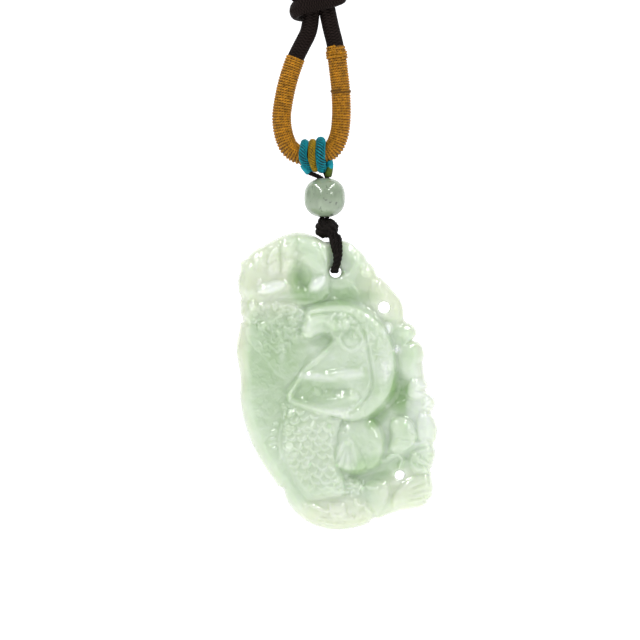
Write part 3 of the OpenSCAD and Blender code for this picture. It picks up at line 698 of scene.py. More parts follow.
# Raised strokes: half width, height, then the points they pass
RIDGES = [
    (1.1, 0.7, (-6.2, 9.6), (-5.9, 11.2), (-4.6, 12.3), (-2.9, 12.6), (-1.5, 12.1), (-0.8, 11.1),
     (0.4, 11.3), (1.6, 11.9)),
    (1.4, 0.3, (-5.6, 9.9), (-5.4, 10.2)),
    (0.9, 0.4, (0.9, 12.9), (1.3, 13)),
    (0.8, 0.5, (-9.2, -1.9), (-7.9, 0.3), (-6.2, 1.5), (-4, 1.7), (-1.4, 1.5)),
    (1.2, 0.5, (-1.6, 1.5), (1, 1.9), (4.2, 2.2)),
    (0.9, 0.25, (-3.6, -5.3), (-1.4, -5.6), (0.3, -5.8), (2, -5.5), (3.4, -4.8), (4.8, -3.6)),
    (1, 0.6, (3, -2.4), (3.4, -2.4)),
    (0.7, 0.25, (-6.6, -3), (-6.5, -3)),
    (0.8, 0.3, (-4.2, -1.3), (-3.6, -1.5)),
    (0.8, 0.25, (-1.8, -1.8), (-1.2, -1.6)),
    (0.35, 0.25, (-10.9, -7.9), (-11.2, -9.6), (-11.2, -11.7), (-10.8, -14.4)),
    (0.3, 0.4, (-10.6, -4.2), (-10.2, -5.2), (-10.4, -6.6)),
    (0.5, 0.5, (18.9, -11.7), (16.6, -11.4), (15.3, -11.7), (14.2, -12.6), (11.2, -13.9),
     (8.9, -15.1)),
    (0.6, 0.5, (14.8, -11.8), (15.7, -11.6)),
    (0.35, 0.6, (12, -13.9), (12.8, -14.8), (12.3, -15.6), (12.1, -16.7)),
    (0.2, 0.3, (2, 20.3), (3.1, 19.4), (4.2, 18.1)),
    (0.25, 0.4, (-0.8, 16.7), (0.3, 15.7)),
    (0.3, 0.3, (2.3, 16.1), (3.8, 15.8), (5.3, 15)),
    (0.3, 0.45, (-13.4, 23.8), (-12.8, 25.6), (-11.6, 26.6)),
    (0.8, 0.25, (-10.2, 26.6), (-9, 26.7)),
    (0.8, 0.3, (-10, 23.5), (-8.8, 23.4)),
    (0.25, 0.25, (-3.6, 27.4), (-1.2, 27)),
    (0.7, 0.5, (-5, 14.2), (-3.6, 14.3)),
    (0.3, 0.5, (-6.3, -24), (-5.2, -23.4), (-4, -24.1), (-2.3, -24.9), (-1.5, -24.8),
     (-1.3, -23.5)),
    (0.35, 0.5, (3.7, -22.8), (4.4, -23.8), (5.4, -23.3)),
    (0.3, 0.5, (5.6, -24), (6.6, -25.1), (7.1, -25.9)),
    (0.3, 0.4, (5, -19), (5.2, -20), (4.6, -20.5)),
    (0.25, 0.35, (6, -20), (7.8, -20.2)),
    (0.5, 0.35, (8.9, 4), (9.6, 2.6), (9.4, 1)),
    (0.3, 0.3, (6.6, 9.9), (7.2, 9.1)),
]
# Cut strokes: half width, depth, then the points they pass
GROOVES = [
    (0.45, 0.45, (-4.8, 13.5), (-2, 13.9), (1.4, 13.9), (3.4, 13), (5, 10.9), (5.7, 8.6),
     (6.2, 5.8), (6.7, 3), (6.9, 0), (5.9, -2.4), (4.8, -3.9), (2.6, -5.6)),
    (0.3, 0.5, (7, 13.2), (9, 11.4), (10.2, 9.4), (11, 7.2), (11.4, 5), (11.4, 2.6)),
    (0.35, 0.2, (-14.1, 27), (-13.7, 24.6), (-13.7, 21.4)),
    (0.35, 0.2, (-11.4, 28), (-10.9, 25), (-11.1, 21.6)),
    (0.3, 0.15, (-15.5, 26), (-15.4, 22.2)),
    (0.3, 0.15, (-16.6, 25), (-16.3, 22)),
    (0.2, 0.35, (-4.3, 27.3), (-2.9, 25.3), (-2.2, 23.1), (-2.2, 21.7)),
    (0.3, 0.15, (-5.1, -22.8), (-2, -22.3), (0.6, -21.9), (3, -22.2)),
    (0.25, 0.15, (-4.8, -21.9), (-2, -21.5), (0.4, -21)),
    (0.2, 0.35, (14.4, -21.5), (16.4, -20.8), (18.6, -20.3)),
    (0.2, 0.35, (13.9, -22.6), (16.6, -22), (18.6, -21.4)),
    (0.2, 0.35, (12.4, -23.9), (15.2, -23.4), (18.2, -22.7)),
    (0.2, 0.3, (14.6, -20.2), (16.4, -19.4), (18.4, -18.9)),
    (0.3, 0.35, (-3.6, -26.6), (-0.6, -27), (3.6, -26.9), (5.6, -26.2)),
    (0.25, 0.35, (-3.4, -25.9), (-1.9, -25.9)),
    (0.2, 0.35, (16.6, -4), (18.6, -2.2)),
    (0.2, 0.35, (16.9, -5), (19, -3.4)),
    (0.22, 0.2, (14, -9.3), (15.1, -9.8)),
    (0.22, 0.2, (11.6, -10.5), (14.7, -10.9)),
    (0.22, 0.15, (11.4, -11.6), (14.2, -11.8)),
    (0.2, 0.3, (15.8, -14), (16.8, -14.9)),
    (0.2, 0.3, (16.9, -14.2), (17.7, -15.2)),
    (0.2, 0.3, (15.9, -15.6), (17.4, -15.9)),
    (0.35, 0.5, (-1.6, -6.3), (0.4, -6.5)),
]
# Ribs of the fan beside the scales: where they start and where each ends
FAN_FROM = (2.3, -10.2)
FAN_RIBS = [
    (0.1, -15), (1, -16.6), (2.8, -17), (3.6, -16.9),
]
# Where each ray of the fin on the left starts
FIN_RAYS = [
    (-11.6, -7.6), (-11.9, -9), (-12.1, -10.4), (-12.1, -11.4), (-11.8, -12.4),
]
# Notches along the edge: place, half width, depth
NOTCHES = [
    (-17.6, 24.2, 1, 0.2), (-14.6, 27, 0.9, 0.15), (-18.4, 17.1, 1.1, 0.7), (-18.8, 12.7, 1, 0.6),
    (-20.2, 7.4, 0.7, 0.2), (-10.3, -20.9, 1.2, 0.7), (7.7, 21.2, 1.2, 0.5), (5.8, 23.8, 0.8, 0.4),
    (13.5, 12.6, 0.9, 0.4), (14.9, 8.7, 0.8, 0.3), (17.9, -1.3, 0.8, 0.5), (19.1, -5.9, 0.9, 0.6),
    (18.9, -12, 0.9, 0.6), (19, -17, 0.9, 0.6), (18.4, -23.2, 0.8, 0.4), (7.3, -26.9, 1, 0.5),
]
# Outline of the fish's face, which slopes down to the snout, and of its scaled body
FACE = [
    (-9.4, -1.6), (-6.9, 2.8), (-3.8, 5.4), (-0.9, 8), (1.5, 10.4), (5, 9.8), (6.6, 3),
    (6.6, -0.2), (4.8, -3.4), (1.5, -5), (-4, -5), (-9.2, -3.4),
]
SCALED = [
    (-10.4, -4.6), (-7, -4.8), (-3.2, -6.2), (-0.8, -8), (-0.6, -12), (-0.2, -16), (0.6, -18.5),
    (1, -21.4), (-5.2, -22.2), (-7.6, -19.2), (-9.4, -16.4), (-10.6, -12),
]
# The place about which the rows of scales are turned
SCALES_AT = (-5.2, -13.3)
# Middle of the eye and radius of its ring
EYE_AT = (2.75, 8.9)
EYE_R = 2.15
# The pierced holes at the right, and the stone's width and height
RIM_HOLE = (9.16, 14.83)
LOW_HOLE = (12.18, -17.83)
STONE_SIZE = (38.8, 57.7)
# The level of the ground between the forms, and how steeply the side of a form falls to it
GROUND, SIDE_FALL = 3.05, 1.9
# The level about which the relief is flattened, and by how much
MIDDLE, DEPTH = 4.2, 0.82
# Radius of the disc over which edges are rounded
POLISH = 0.18
# Bevels of the cord hole and of the pierced holes
CORD_BEVEL, FINE_BEVEL = 0.5, 0.15
# Share of the relief's height left at the rim, and how far the back falls to its edge
RIM_SHARE, BACK_FALL = 0.15, 1.3
# Parts left rough from the tool: across, up, half width, half height, turn, roughness
ROUGH = [
    (-10.9, 12, 6.6, 4.4, -12, 0.5), (-12, 8, 4, 3, 0, 0.22), (-10.8, 25, 5.5, 4, 0, 0.22),
    (2.2, -20, 3.6, 2.4, 0, 0.5), (1.6, 11.4, 5.5, 3.4, 0, 0.3), (-9.1, -5.5, 2.2, 1.6, 0, 0.3),
    (8.6, 7, 2.4, 7, 15, 0.2), (1, -26.6, 6.5, 2, 0, 0.3), (-3, -1.4, 5, 2, 0, 0.1),
    (2, -6, 4.4, 1.8, 0, 0.25), (17, -15, 2.6, 2.4, 0, 0.3), (10, 18, 2.6, 4.4, 35, 0.2),
]
# Zones of colour, a few of them painted highlights: across, up, half width, half height, turn,
# strength, colour
ZONES = [
    (-13.5, 20.5, 9, 9, 0, 0.8, "warm"), (-18.8, 8, 2.2, 12, 0, 0.8, "warm"),
    (13.5, -21.5, 7, 5.5, 12, 0.7, "warm"), (0, -26, 10, 5, 0, 0.9, "warm"),
    (9.5, 17.5, 5, 8, 39, 0.75, "warm"), (11.9, -1.6, 3.2, 5.2, 15, 0.9, "green"),
    (7.8, -6.6, 3.2, 1.8, 40, 0.8, "green"), (-3.3, -1.2, 6.2, 3, 3, 0.45, "green"),
    (-1.5, 17.5, 5.5, 4.5, 0, 0.35, "green"), (0.5, 10.5, 6, 3.5, 0, 0.25, "green"),
    (5, -15, 6, 4, 0, 0.12, "green"), (8, -1, 4, 5, 0, 0.2, "green"),
    (5, 17.5, 5, 4, -20, 0.12, "green"), (-2.8, 7.8, 2.8, 2.2, -45, 0.55, "green"),
    (-7, 19.8, 2.8, 5, 10, 0.8, "green"), (-2, 16.9, 11, 2, 0, 0.55, "green"),
    (6.5, -16.6, 7, 3.4, 5, 0.5, "green"), (13.4, -14.8, 3.2, 1.6, 20, 0.4, "green"),
    (-11.5, 3, 7.5, 14, 5, 0.45, "green"), (-5.2, -12.5, 6, 9, 9, 0.15, "warm"),
    # The white zones at (9.4, 3) and (9.5, 2.8), on the band beside the gill groove, are painted
    # highlights.
    (-4.6, 10.7, 2.4, 2.2, 30, 0.35, "white"), (9.4, 3, 1.8, 6, 0, 0.5, "white"),
    (9.5, 2.8, 1.1, 2.4, 0, 0.6, "white"), (2.2, 1.8, 3.4, 1.3, 0, 0.6, "white"),
    (17.2, -3.5, 4, 11, 0, 0.9, "white"), (0.8, -24.8, 5, 2.4, 0, 0.2, "white"),
    (-4, 1.3, 5, 0.9, -8, 0.6, "white"), (-12.7, 18.7, 3.2, 1.5, 10, 0.9, "white"),
    (-3.7, 19.4, 2.4, 1.6, 41, 0.9, "white"), (2.2, -14.6, 1.8, 2.6, 15, 0.5, "white"),
    # The white zones at (9.9, 10.7) and (11.7, 6.6) paint highlights on the two small knobs.
    (9.9, 10.7, 1.3, 1.5, 0, 0.8, "white"), (11.7, 6.6, 1.1, 1.1, 0, 0.8, "white"),
    (0.6, -5.6, 3.2, 1.2, 5, 0.5, "white"),
]


def spread(x, z, form):
    """Squared distance from the middle of a turned oval, 1 at its edge."""
    turn = math.radians(form[4])
    dx, dz = x - form[0], z - form[1]
    along = (dx * math.cos(turn) + dz * math.sin(turn)) / form[2]
    across = (dz * math.cos(turn) - dx * math.sin(turn)) / form[3]
    return along**2 + across**2


def eased(low, high, value):
    """0 at low, 1 at high, and a soft step between them."""
    t = np.clip((value - low) / (high - low), 0, 1)
    return t * t * (3 - 2 * t)


def crest(distance, half, height):
    """A rounded crest of a half width and height."""
    return np.clip(1 - (distance / half) ** 2, 0, 1) * height


def to_stroke(x, z, points):
    """Distance from each point of the net to a stroke."""
    near = np.full(x.shape, 1e9)
    for (ax, az), (bx, bz) in zip(points, points[1:]):
        dx, dz = bx - ax, bz - az
        t = np.clip(((x - ax) * dx + (z - az) * dz) / (dx * dx + dz * dz), 0, 1)
        near = np.minimum(near, np.hypot(x - ax - t * dx, z - az - t * dz))
    return near


def cut_corners(points, closed):
    """The same outline with its corners cut off twice."""
    for _ in range(2):
        following = points[1:] + points[:1] if closed else points[1:]
        cut = [
            (a * share + c * (1 - share), b * share + d * (1 - share))
            for (a, b), (c, d) in zip(points, following)
            for share in (0.75, 0.25)
        ]
        points = cut if closed else [points[0], *cut[1:-1], points[-1]]
    return points


def close_by(x, z, points, margin):
    """Which points of the net lie in or near the box round an outline."""
    across, up = zip(*points)
    beside = (x > min(across) - margin) & (x < max(across) + margin)
    return beside & (z > min(up) - margin) & (z < max(up) + margin)


def within(x, z, points):
    """Distance to an outline, positive inside it."""
    inside = np.zeros(x.shape, bool)
    for (ax, az), (bx, bz) in zip(points, points[1:] + points[:1]):
        crosses = (az > z) != (bz > z)
        inside ^= crosses & (x < (bx - ax) * (z - az) / ((bz - az) or 1e-9) + ax)
    far = to_stroke(x, z, points + points[:1])
    return np.where(inside, far, -far)


def strokes(x, z, table):
    """Greatest of the strokes of a table at each point."""
    best = np.zeros(x.shape)
    for half, height, *points in table:
        here = close_by(x, z, points, half)
        q = to_stroke(x[here], z[here], cut_corners(points, False)) / half
        best[here] = np.maximum(best[here], np.where(q < 1, height * (1 - q * q), 0))
    return best


def plates(x, z, height):
    """Raises the carved plates, each with a rounded edge and a steep side."""
    for top, slope, drop, soft, *outline in PLATES:
        here = close_by(x, z, outline, 1.5)
        middle = sum(across for across, _ in outline) / len(outline)
        d = within(x[here], z[here], cut_corners(outline, True))
        t = 1 - np.clip(d / soft, 0, 1)
        face = top + slope * (x[here] - middle) - drop + drop * np.sqrt(1 - t * t)
        height[here] = np.maximum(height[here], np.where(d > 0, face, face + SIDE_FALL * d))


def cuts(x, z, height):
    """Sinks the cut parts."""
    for level, soft, *outline in CUTS:
        here = close_by(x, z, outline, 0)
        deep = eased(0, soft, within(x[here], z[here], cut_corners(outline, True)))
        sunk = np.minimum(height[here], level)
        height[here] = height[here] + (sunk - height[here]) * deep


def scatter(a, b, seed):
    """A steady number from 0 to 1 for each pair of whole numbers."""
    return np.modf(np.abs(np.sin(a * 127.1 + b * 311.7 + seed * 74.7) * 43758.5453))[0]


def chips(x, z, size):
    """Small flat facets that lean all ways, as a tool leaves them."""
    a, b = np.floor(x / size), np.floor(z / size)
    best = np.full(x.shape, 1e9)
    height = np.zeros(x.shape)
    for i in (-1, 0, 1):
        for j in (-1, 0, 1):
            p, q = a + i, b + j
            dx = x - (p + scatter(p, q, 1)) * size
            dz = z - (q + scatter(p, q, 2)) * size
            far = np.hypot(dx, dz)
            lean = (scatter(p, q, 3) - 0.5) * dx + (scatter(p, q, 4) - 0.5) * dz
            height = np.where(far < best, 1.6 * lean / size + scatter(p, q, 5) - 0.5, height)
            best = np.minimum(best, far)
    return height


def eye(x, z):
    """Ring, pupil and brow of the eye, sunk a little into the face."""
    r = np.hypot(x - EYE_AT[0], z - EYE_AT[1])
    above = x + z > EYE_AT[0] + EYE_AT[1]
    lid = crest(r - EYE_R, 0.35, 0.25) + crest(r, 1.7, 0.35)
    lid = lid + crest(r - EYE_R - 1.1, 0.4, 0.2) * above - 0.15 * (r < EYE_R)
    return lid * (r < EYE_R + 1.6)


def scales(x, z):
    """Overlapping scales down the body, each lifted at its lower edge."""
    size, row_step, turn = 1.02, 1.25, math.radians(8)
    right, above = x - SCALES_AT[0], z - SCALES_AT[1]
    a = right * math.cos(turn) + above * math.sin(turn)
    b = above * math.cos(turn) - right * math.sin(turn)
    height = np.zeros(x.shape)
    done = np.zeros(x.shape, bool)
    for up in (2, 1, 0, -1):
        row = np.floor(b / row_step) + up
        shift = np.where(row % 2 == 0, 0, size)
        column = np.round((a - shift) / (2 * size))
        dx = a - shift - (column + 0.35 * (scatter(row, column, 6) - 0.5)) * 2 * size
        dz = b - (row + 0.6 * (scatter(row, column, 7) - 0.5)) * row_step
        q = np.hypot(dx / (1.1 * size), dz / (1.2 * row_step))
        here = (q < 1) & ~done
        lift = np.clip(0.2 - dz / row_step, 0, 1) * (0.5 + 0.5 * scatter(row, column, 8))
        fall = np.clip((q - 0.93) / 0.07, 0, 1)
        height = np.where(here, 0.36 * lift + crest(q - 0.86, 0.14, 0.16) - 0.35 * fall, height)
        done |= here
    here = close_by(x, z, SCALED, 0)
    on_body = np.zeros(x.shape)
    on_body[here] = eased(0, 0.5, within(x[here], z[here], SCALED))
    return height * on_body


def relief(x, z):
    """Height of the carving in front of the stone's middle plane, mm."""
    height = np.full(x.shape, GROUND)
    plates(x, z, height)
    here = close_by(x, z, FACE, 0)
    sloping = 0.12 * np.clip(2 - x[here], 0, 11)
    height[here] -= sloping * eased(0, 1.2, within(x[here], z[here], FACE))
    height += eye(x, z)
    height += scales(x, z)
    cuts(x, z, height)
    height += strokes(x, z, RIDGES) - strokes(x, z, GROOVES)
    ribs = [(0.4, 0.3, FAN_FROM, end) for end in FAN_RIBS]
    height -= strokes(x, z, ribs) * eased(0.6, 1.8, np.hypot(x - FAN_FROM[0], z - FAN_FROM[1]))
    height += strokes(x, z, [(0.28, 0.25, (a, b), (a - 0.7, b - 0.3)) for a, b in FIN_RAYS])
    return MIDDLE + DEPTH * (height - MIDDLE)


def tool_marks(x, z):
    """Small facets, strongest in the rough zones."""
    rough = np.full(x.shape, 0.05)
    for zone in ROUGH:
        rough = np.maximum(rough, zone[5] * np.clip(2 * (1 - spread(x, z, zone)), 0, 1))
    return rough * (0.7 * chips(x, z, 1.3) + 0.5 * chips(x + 7, z + 3, 0.7))


def polished(x, z):
    """The relief with its edges rounded by averaging over a small disc."""
    total = 2 * relief(x, z)
    for a in np.arange(6) * TURN / 6:
        total = total + relief(x + POLISH * math.cos(a), z + POLISH * math.sin(a))
    return total / 8 + tool_marks(x, z)


def stone_tint(x, z, height, inset, settings):
    """Colour of the stone at each point, with painted light: greener and darker where it is cut
    deep, partly the stone's green and partly painted shade; paler on the forms and whiter on the
    highest; paler towards the rim, painted light through the thin edge; and painted highlights in
    a few white zones.
    """
    tones = {k: np.array(getattr(settings, k)) for k in ("pale", "green", "white", "warm")}
    tint_and_painted_light = np.tile(tones["pale"], (len(x), 1))

    def toward(tone, share):
        return tint_and_painted_light + (tones[tone] - tint_and_painted_light) * np.clip(share, 0, 1)[:, None]

    for zone in ZONES:
        tint_and_painted_light = toward(zone[6], zone[5] * np.clip(1 - spread(x, z, zone), 0, 1) ** 0.8)
    # Greener and darker where the relief is cut deep: the stone's green hollows, and painted shade
    # in them.
    deep = eased(3.0, 0.9, height) * eased(1.2, 3.2, inset)
    tint_and_painted_light = toward("green", 0.3 * deep)
    tint_and_painted_light = toward("white", 0.35 * eased(5.9, 7.0, height))
    # Paler and warmer towards the rim: painted light shining through the thin edge.
    return 0.93 * toward("warm", 0.5 * eased(1.8, 0.2, inset))


def outline_of(node):
    """Angles and distances of the stone's outline round its middle, from the solid."""
    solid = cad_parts[node].data
    co = np.zeros(len(solid.vertices) * 3)
    solid.vertices.foreach_get("co", co)
    co = co.reshape(-1, 3) / MM
    x, z = co[:, 0] - STONE_AT[0], co[:, 2] - STONE_AT[1]
    angle = np.degrees(np.arctan2(z, x)) % 360
    edge = {}
    for a, r in zip(np.round(angle, 2), np.hypot(x, z)):
        edge[a] = max(edge.get(a, 0), r)
    angles = np.array(sorted(edge))
    reach = np.array([edge[a] for a in angles])
    top = np.array([reach[np.abs((angles - a + 180) % 360 - 180) < 1.2].max() for a in angles])
    keep = reach > 0.985 * top
    return angles[keep], reach[keep]


def net(n):
    """A net of n rings over the stone: across, up, distance to the rim, and its faces."""
    angles, reach = outline_of("jade_carving")
    start = [0] + [1 + 3 * j * (j - 1) for j in range(1, n + 1)]
    x, z, inset, faces = [np.zeros(1)], [np.zeros(1)], [np.full(1, 20.0)], []
    for j in range(1, n + 1):
        a = np.arange(6 * j) * 360 / (6 * j)
        far = np.interp(a, angles, reach, period=360)
        ex, ez = far * np.cos(np.radians(a)), far * np.sin(np.radians(a))
        for nx, nz, half, depth in NOTCHES:
            off = np.hypot(ex - nx, ez - nz) / half
            far = far - depth * np.clip(1 - off * off, 0, 1)
        r = far * j / n
        x.append(r * np.cos(np.radians(a)))
        z.append(r * np.sin(np.radians(a)))
        inset.append(far - r)
        inner_ring = max(1, 6 * (j - 1))
        for s in range(6):
            for m in range(j):
                outer = start[j] + (s * j + m) % (6 * j)
                after = start[j] + (s * j + m + 1) % (6 * j)
                inner = start[j - 1] + (s * (j - 1) + m) % inner_ring
                faces.append((outer, inner, after))
                if m < j - 1:
                    beyond = start[j - 1] + (s * (j - 1) + m + 1) % inner_ring
                    faces.append((inner, beyond, after))
    x, z, inset = map(np.concatenate, (x, z, inset))
    return x, z, inset, np.array(faces), start[n]


def carve(settings):
    """The stone as a fine net, the same in front and behind, with its three holes."""
    x, z, inset, faces, rim_start = net(settings.rings)
    cord_hole = (CORD_HOLE[0] - STONE_AT[0], CORD_HOLE[1] - STONE_AT[1])
    holes = [
        (*cord_hole, settings.hole / MM / 2, CORD_BEVEL),
        (*RIM_HOLE, settings.rim_hole / MM / 2, FINE_BEVEL),
        (*LOW_HOLE, settings.low_hole / MM / 2, FINE_BEVEL),
    ]
    for hx, hz, radius, _ in holes:
        faces = faces[~(np.hypot(x - hx, z - hz) < radius)[faces].any(axis=1)]
    edges = dict.fromkeys((int(f[k]), int(f[(k + 1) % 3])) for f in faces for k in range(3))
    open_edges = [(a, b) for a, b in edges if (b, a) not in edges]
    for a, b in open_edges:
        if min(a, b) >= rim_start:
            continue
        for i in (a, b):
            for hx, hz, radius, _ in holes:
                far = math.hypot(x[i] - hx, z[i] - hz)
                if far < radius + 1.0:
                    x[i] = hx + (x[i] - hx) * radius / far
                    z[i] = hz + (z[i] - hz) * radius / far
    front = settings.front / MM
    edge = RIM_SHARE * front
    curve = np.clip(inset / (settings.rim / MM), 0, 1)
    curve = np.sqrt(1 - (1 - curve) ** 2)
    carved = polished(x, z)
    height = edge + (np.clip(carved, edge, front) - edge) * curve
    q = (x / STONE_SIZE[0]) ** 2 + (z / STONE_SIZE[1]) ** 2
    behind = edge + (settings.back / MM * (1 - BACK_FALL * q) - edge) * curve
    for hx, hz, radius, bevel in holes:
        cut = np.maximum(0, radius + bevel - np.hypot(x - hx, z - hz))
        height -= cut
        behind -= cut
    tint_and_painted_light = stone_tint(x, z, carved, inset, settings)
    count = len(x)
    used = np.unique(faces)
    place = np.full(2 * count, -1)
    place[used] = np.arange(len(used))
    place[used + count] = np.arange(len(used)) + len(used)
    points = np.concatenate([np.stack([x, y, z], 1)[used] for y in (-height, behind)])
    points = (points + np.array([STONE_AT[0], 0, STONE_AT[1]])) * MM
    sides = [q for a, b in open_edges for q in ((b, a, a + count), (b, a + count, b + count))]
    every = np.concatenate([faces, faces[:, ::-1] + count, np.array(sides)])
    mesh = bpy.data.meshes.new("carved_stone")
    mesh.from_pydata(points.tolist(), [], place[every].tolist())
    mesh.validate()
    plain = np.array(settings.pale) + 0.3 * (tint_and_painted_light - np.array(settings.pale))
    colours = np.concatenate([tint_and_painted_light[used], plain[used]])
    colours = np.concatenate([colours, np.ones((len(colours), 1))], 1)
    shade = mesh.color_attributes.new("tint_and_painted_light", "FLOAT_COLOR", "POINT")
    shade.data.foreach_set("color", colours.ravel())
    mesh.shade_smooth()
    return mesh


def turned_bead(low, high, bore):
    """A round bead, a little squarer than a ball, with a bore from top to bottom."""
    turns, rows, fullness = 72, 48, 0.83
    middle = (low + high) / 2
    radius, half = (high.y - low.y) / 2, (high.z - low.z) / 2
    lowest = math.asin((bore / radius) ** (1 / fullness))
    section = []
    for a in np.linspace(lowest, math.pi - lowest, rows):
        up = math.cos(a)
        level = half * math.copysign(abs(up) ** fullness, up)
        section.append((radius * math.sin(a) ** fullness, level))
    section += [(bore, z) for z in np.linspace(section[-1][1], section[0][1], 8)[1:-1]]
    count = len(section)
    points, faces = [], []
    for i in range(turns):
        a = TURN * i / turns
        points += [
            (middle.x + r * math.cos(a), middle.y + r * math.sin(a), middle.z + h)
            for r, h in section
        ]
        j = (i + 1) % turns
        for k in range(count):
            m = (k + 1) % count
            faces.append((i * count + k, i * count + m, j * count + m, j * count + k))
    mesh = bpy.data.meshes.new("round_bead")
    mesh.from_pydata(points, [], faces)
    mesh.shade_smooth()
    return mesh


# ---------------------------------------------------------------- operators


class PENDANT_OT_stone(bpy.types.Operator):
    """Makes the carved stone"""

    bl_idname = "pendant.stone"
    bl_label = "Carved stone"

    def execute(self, context):
        settings = context.scene.pendant_stone
        stone = placed("carved_stone", carve(settings))
        stone.data.materials.append(stone_finish("Polished jade", tuple(settings.white)))
        settle(stone, STONE_BODY, "jade_carving")
        return {"FINISHED"}


class PENDANT_OT_bead(bpy.types.Operator):
    """Makes the round bead with its bore"""

    bl_idname = "pendant.bead"
    bl_label = "Round bead"

    def execute(self, context):
        bore = 1.1 * MM
        bead = placed("round_bead", turned_bead(*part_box("bead"), bore))
        tone = tuple(context.scene.pendant_stone.bead)
        bead.data.materials.append(bead_finish("Clouded bead", tone))
        settle(bead, CORD_BODY, "bead")
        return {"FINISHED"}


class PENDANT_OT_neck_cord(bpy.types.Operator):
    """Makes the braided neck cord and the wound knot at the nape"""

    bl_idname = "pendant.neck_cord"
    bl_label = "Neck cord"

    def execute(self, context):
        settings = context.scene.pendant_cord
        braid = braid_finish("Dark braid", tuple(settings.dark))
        side = smooth_route(NECK_SIDE, 1.5)
        route = [side, smooth_route(GOLD_ROUTE, 0.8), side[::-1] * [-1, 1]]
        half = settings.neck_d / 2
        slot = "dark_cord"
        tube("braided_neck_cord", np.concatenate(route), half, 20, braid, slot, "neck_cord")
        turns, pitch, radius, height, thin = 8, 1.7, 2.6, 3.5, 0.88 * MM
        left = pitch * turns / 2
        wound = [
            (pitch * t / TURN - left, radius * math.cos(t), height + radius * math.sin(t))
            for t in np.linspace(0, turns * TURN, turns * 24)
        ]
        wound = smooth_route(wound, 1)
        tube("knot_at_the_nape", wound, thin, 12, braid, slot, "closing_knot")
        return {"FINISHED"}


class PENDANT_OT_top_knot(bpy.types.Operator):
    """Makes the turns of cord above the gold loop"""

    bl_idname = "pendant.top_knot"
    bl_label = "Knot above the gold loop"

    def execute(self, context):
        start, turns, rise, lean = 125, 1.67, 3.4, 0.15
        inner, leg, middle = 2.9, 1.6, -269.85
        half, deep = 1.2 * MM, 1.68 * MM
        path = []
        for a in np.linspace(start, start + 360 * turns, 90):
            c, s = math.cos(math.radians(a)), math.sin(math.radians(a))
            across = inner * c + leg * max(-1, min(1, 3 * c))
            path.append((across, inner * s, middle + rise * (a - 180) / 360 + lean * across))
        braid = braid_finish("Dark braid of the turns", tuple(context.scene.pendant_cord.dark))
        tube(
            "turns_above_the_gold_loop", path, half, 20, braid, "dark_cord", "top_knot",
            "upright tube", deep,
        )
        return {"FINISHED"}


class PENDANT_OT_gold_thread(bpy.types.Operator):
    """Winds gold thread round both sides of the loop"""

    bl_idname = "pendant.gold_thread"
    bl_label = "Gold thread"

    def execute(self, context):
        settings = context.scene.pendant_thread
        gold = thread_finish("Gold thread", tuple(settings.gold), 0.4, 0.35, 0.35)
        # The under-layer and the crossing turn wear a darker copy of the gold: painted shade in
        # the gaps between the turns of thread.
        shade = thread_finish("Gold under-layer", *shades(settings.gold, 0.3))
        route = smooth_route(GOLD_ROUTE, 0.3)
        half = len(route) // 2
        top_right, top_left, end_right, end_left = -277.4, -279.4, 0.9, -2.7
        right = [p for p in route[:half] if p[1] < top_right and p[0] > end_right]
        left = [p for p in route[half:] if p[1] < top_left and p[0] < end_left]
        again, crossing = (
            [p for p in right if low < p[1] < high]
            for low, high in ((-279.9, -278.1), (-286.6, -285.9))
        )
        slot = "gold_thread"
        for name, part, out, tone, node in (
            ("gold_thread_right", right, 0, gold, "gold_wrap_right"),
            ("gold_thread_left", left[::-1], 0, gold, "gold_wrap_left"),
            ("gold_second_turns", again, 0.22 * MM, gold, "gold_wrap_right"),
            ("gold_crossing_turn", crossing, 0.14 * MM, shade, "gold_wrap_right"),
        ):
            made_along(
                name, "thread", [part], slot, node, Core_Radius=settings.under + out,
                Pitch=settings.gold_d * 1.04, Thread_Radius=settings.gold_d * 0.53, Plies=2,
                Ply_Pitch=-1.1 * MM, Core_Step=settings.gold_d / 24, Ply_Step=0.12 * MM,
                Sides=5, Material=tone,
            )
        tube("gold_layer_right", right, settings.under, 20, shade, slot, "gold_wrap_right")
        tube("gold_layer_left", left, settings.under, 20, shade, slot, "gold_wrap_left")
        return {"FINISHED"}


class PENDANT_OT_rings(bpy.types.Operator):
    """Makes the three twisted rings round the bottom of the loop"""

    bl_idname = "pendant.rings"
    bl_label = "Coloured rings"

    def execute(self, context):
        settings = context.scene.pendant_thread
        blue = thread_finish("Blue thread", tuple(settings.blue))
        yellow = thread_finish("Yellow thread", tuple(settings.yellow))
        # The cores under the threads are near-black copies of the ring colours: painted shade in
        # the gaps between the threads.
        shaded_blue_core = thread_finish("Blue core", *shades(settings.blue, 0.06))
        shaded_yellow_core = thread_finish("Yellow core", *shades(settings.yellow, 0.08))
        x0, z0 = RINGS_AT
        to_thread, to_core = 0.17, 0.26
        for name, across, lean, down, reach, thick, tone, core, node in (
            ("blue_ring_left", -1.65, 1.3, 0.2, 2.5, 0.86, blue, shaded_blue_core, "ring_blue_left"),
            ("yellow_ring", 0.05, 0.7, 0.1, 2.55, 0.78, yellow, shaded_yellow_core, "ring_yellow"),
            ("blue_ring_right", 1.75, 0.3, 0, 2.65, 1.0, blue, shaded_blue_core, "ring_blue_right"),
        ):
            loop = []
            for a in np.linspace(0, TURN, 121):
                up = math.cos(a)
                aside = across + lean * max(0, -up) ** 2 + 0.3 * lean * max(0, up) ** 2
                loop.append((x0 + aside, reach * math.sin(a), z0 - down + reach * up))
            slot = "yellow_thread" if tone is yellow else "blue_thread"
            made_along(
                name, "thread", [loop], slot, node, Core_Radius=(thick - to_thread) * MM,
                Pitch=-3.0 * MM, Starts=6, Thread_Radius=0.165 * MM, Plies=2,
                Ply_Pitch=0.9 * MM, Core_Step=0.1 * MM, Ply_Step=0.12 * MM, Sides=5,
                Material=tone,
            )
            tube(name + "_core", loop, (thick - to_core) * MM, 12, core, slot, node)
        return {"FINISHED"}


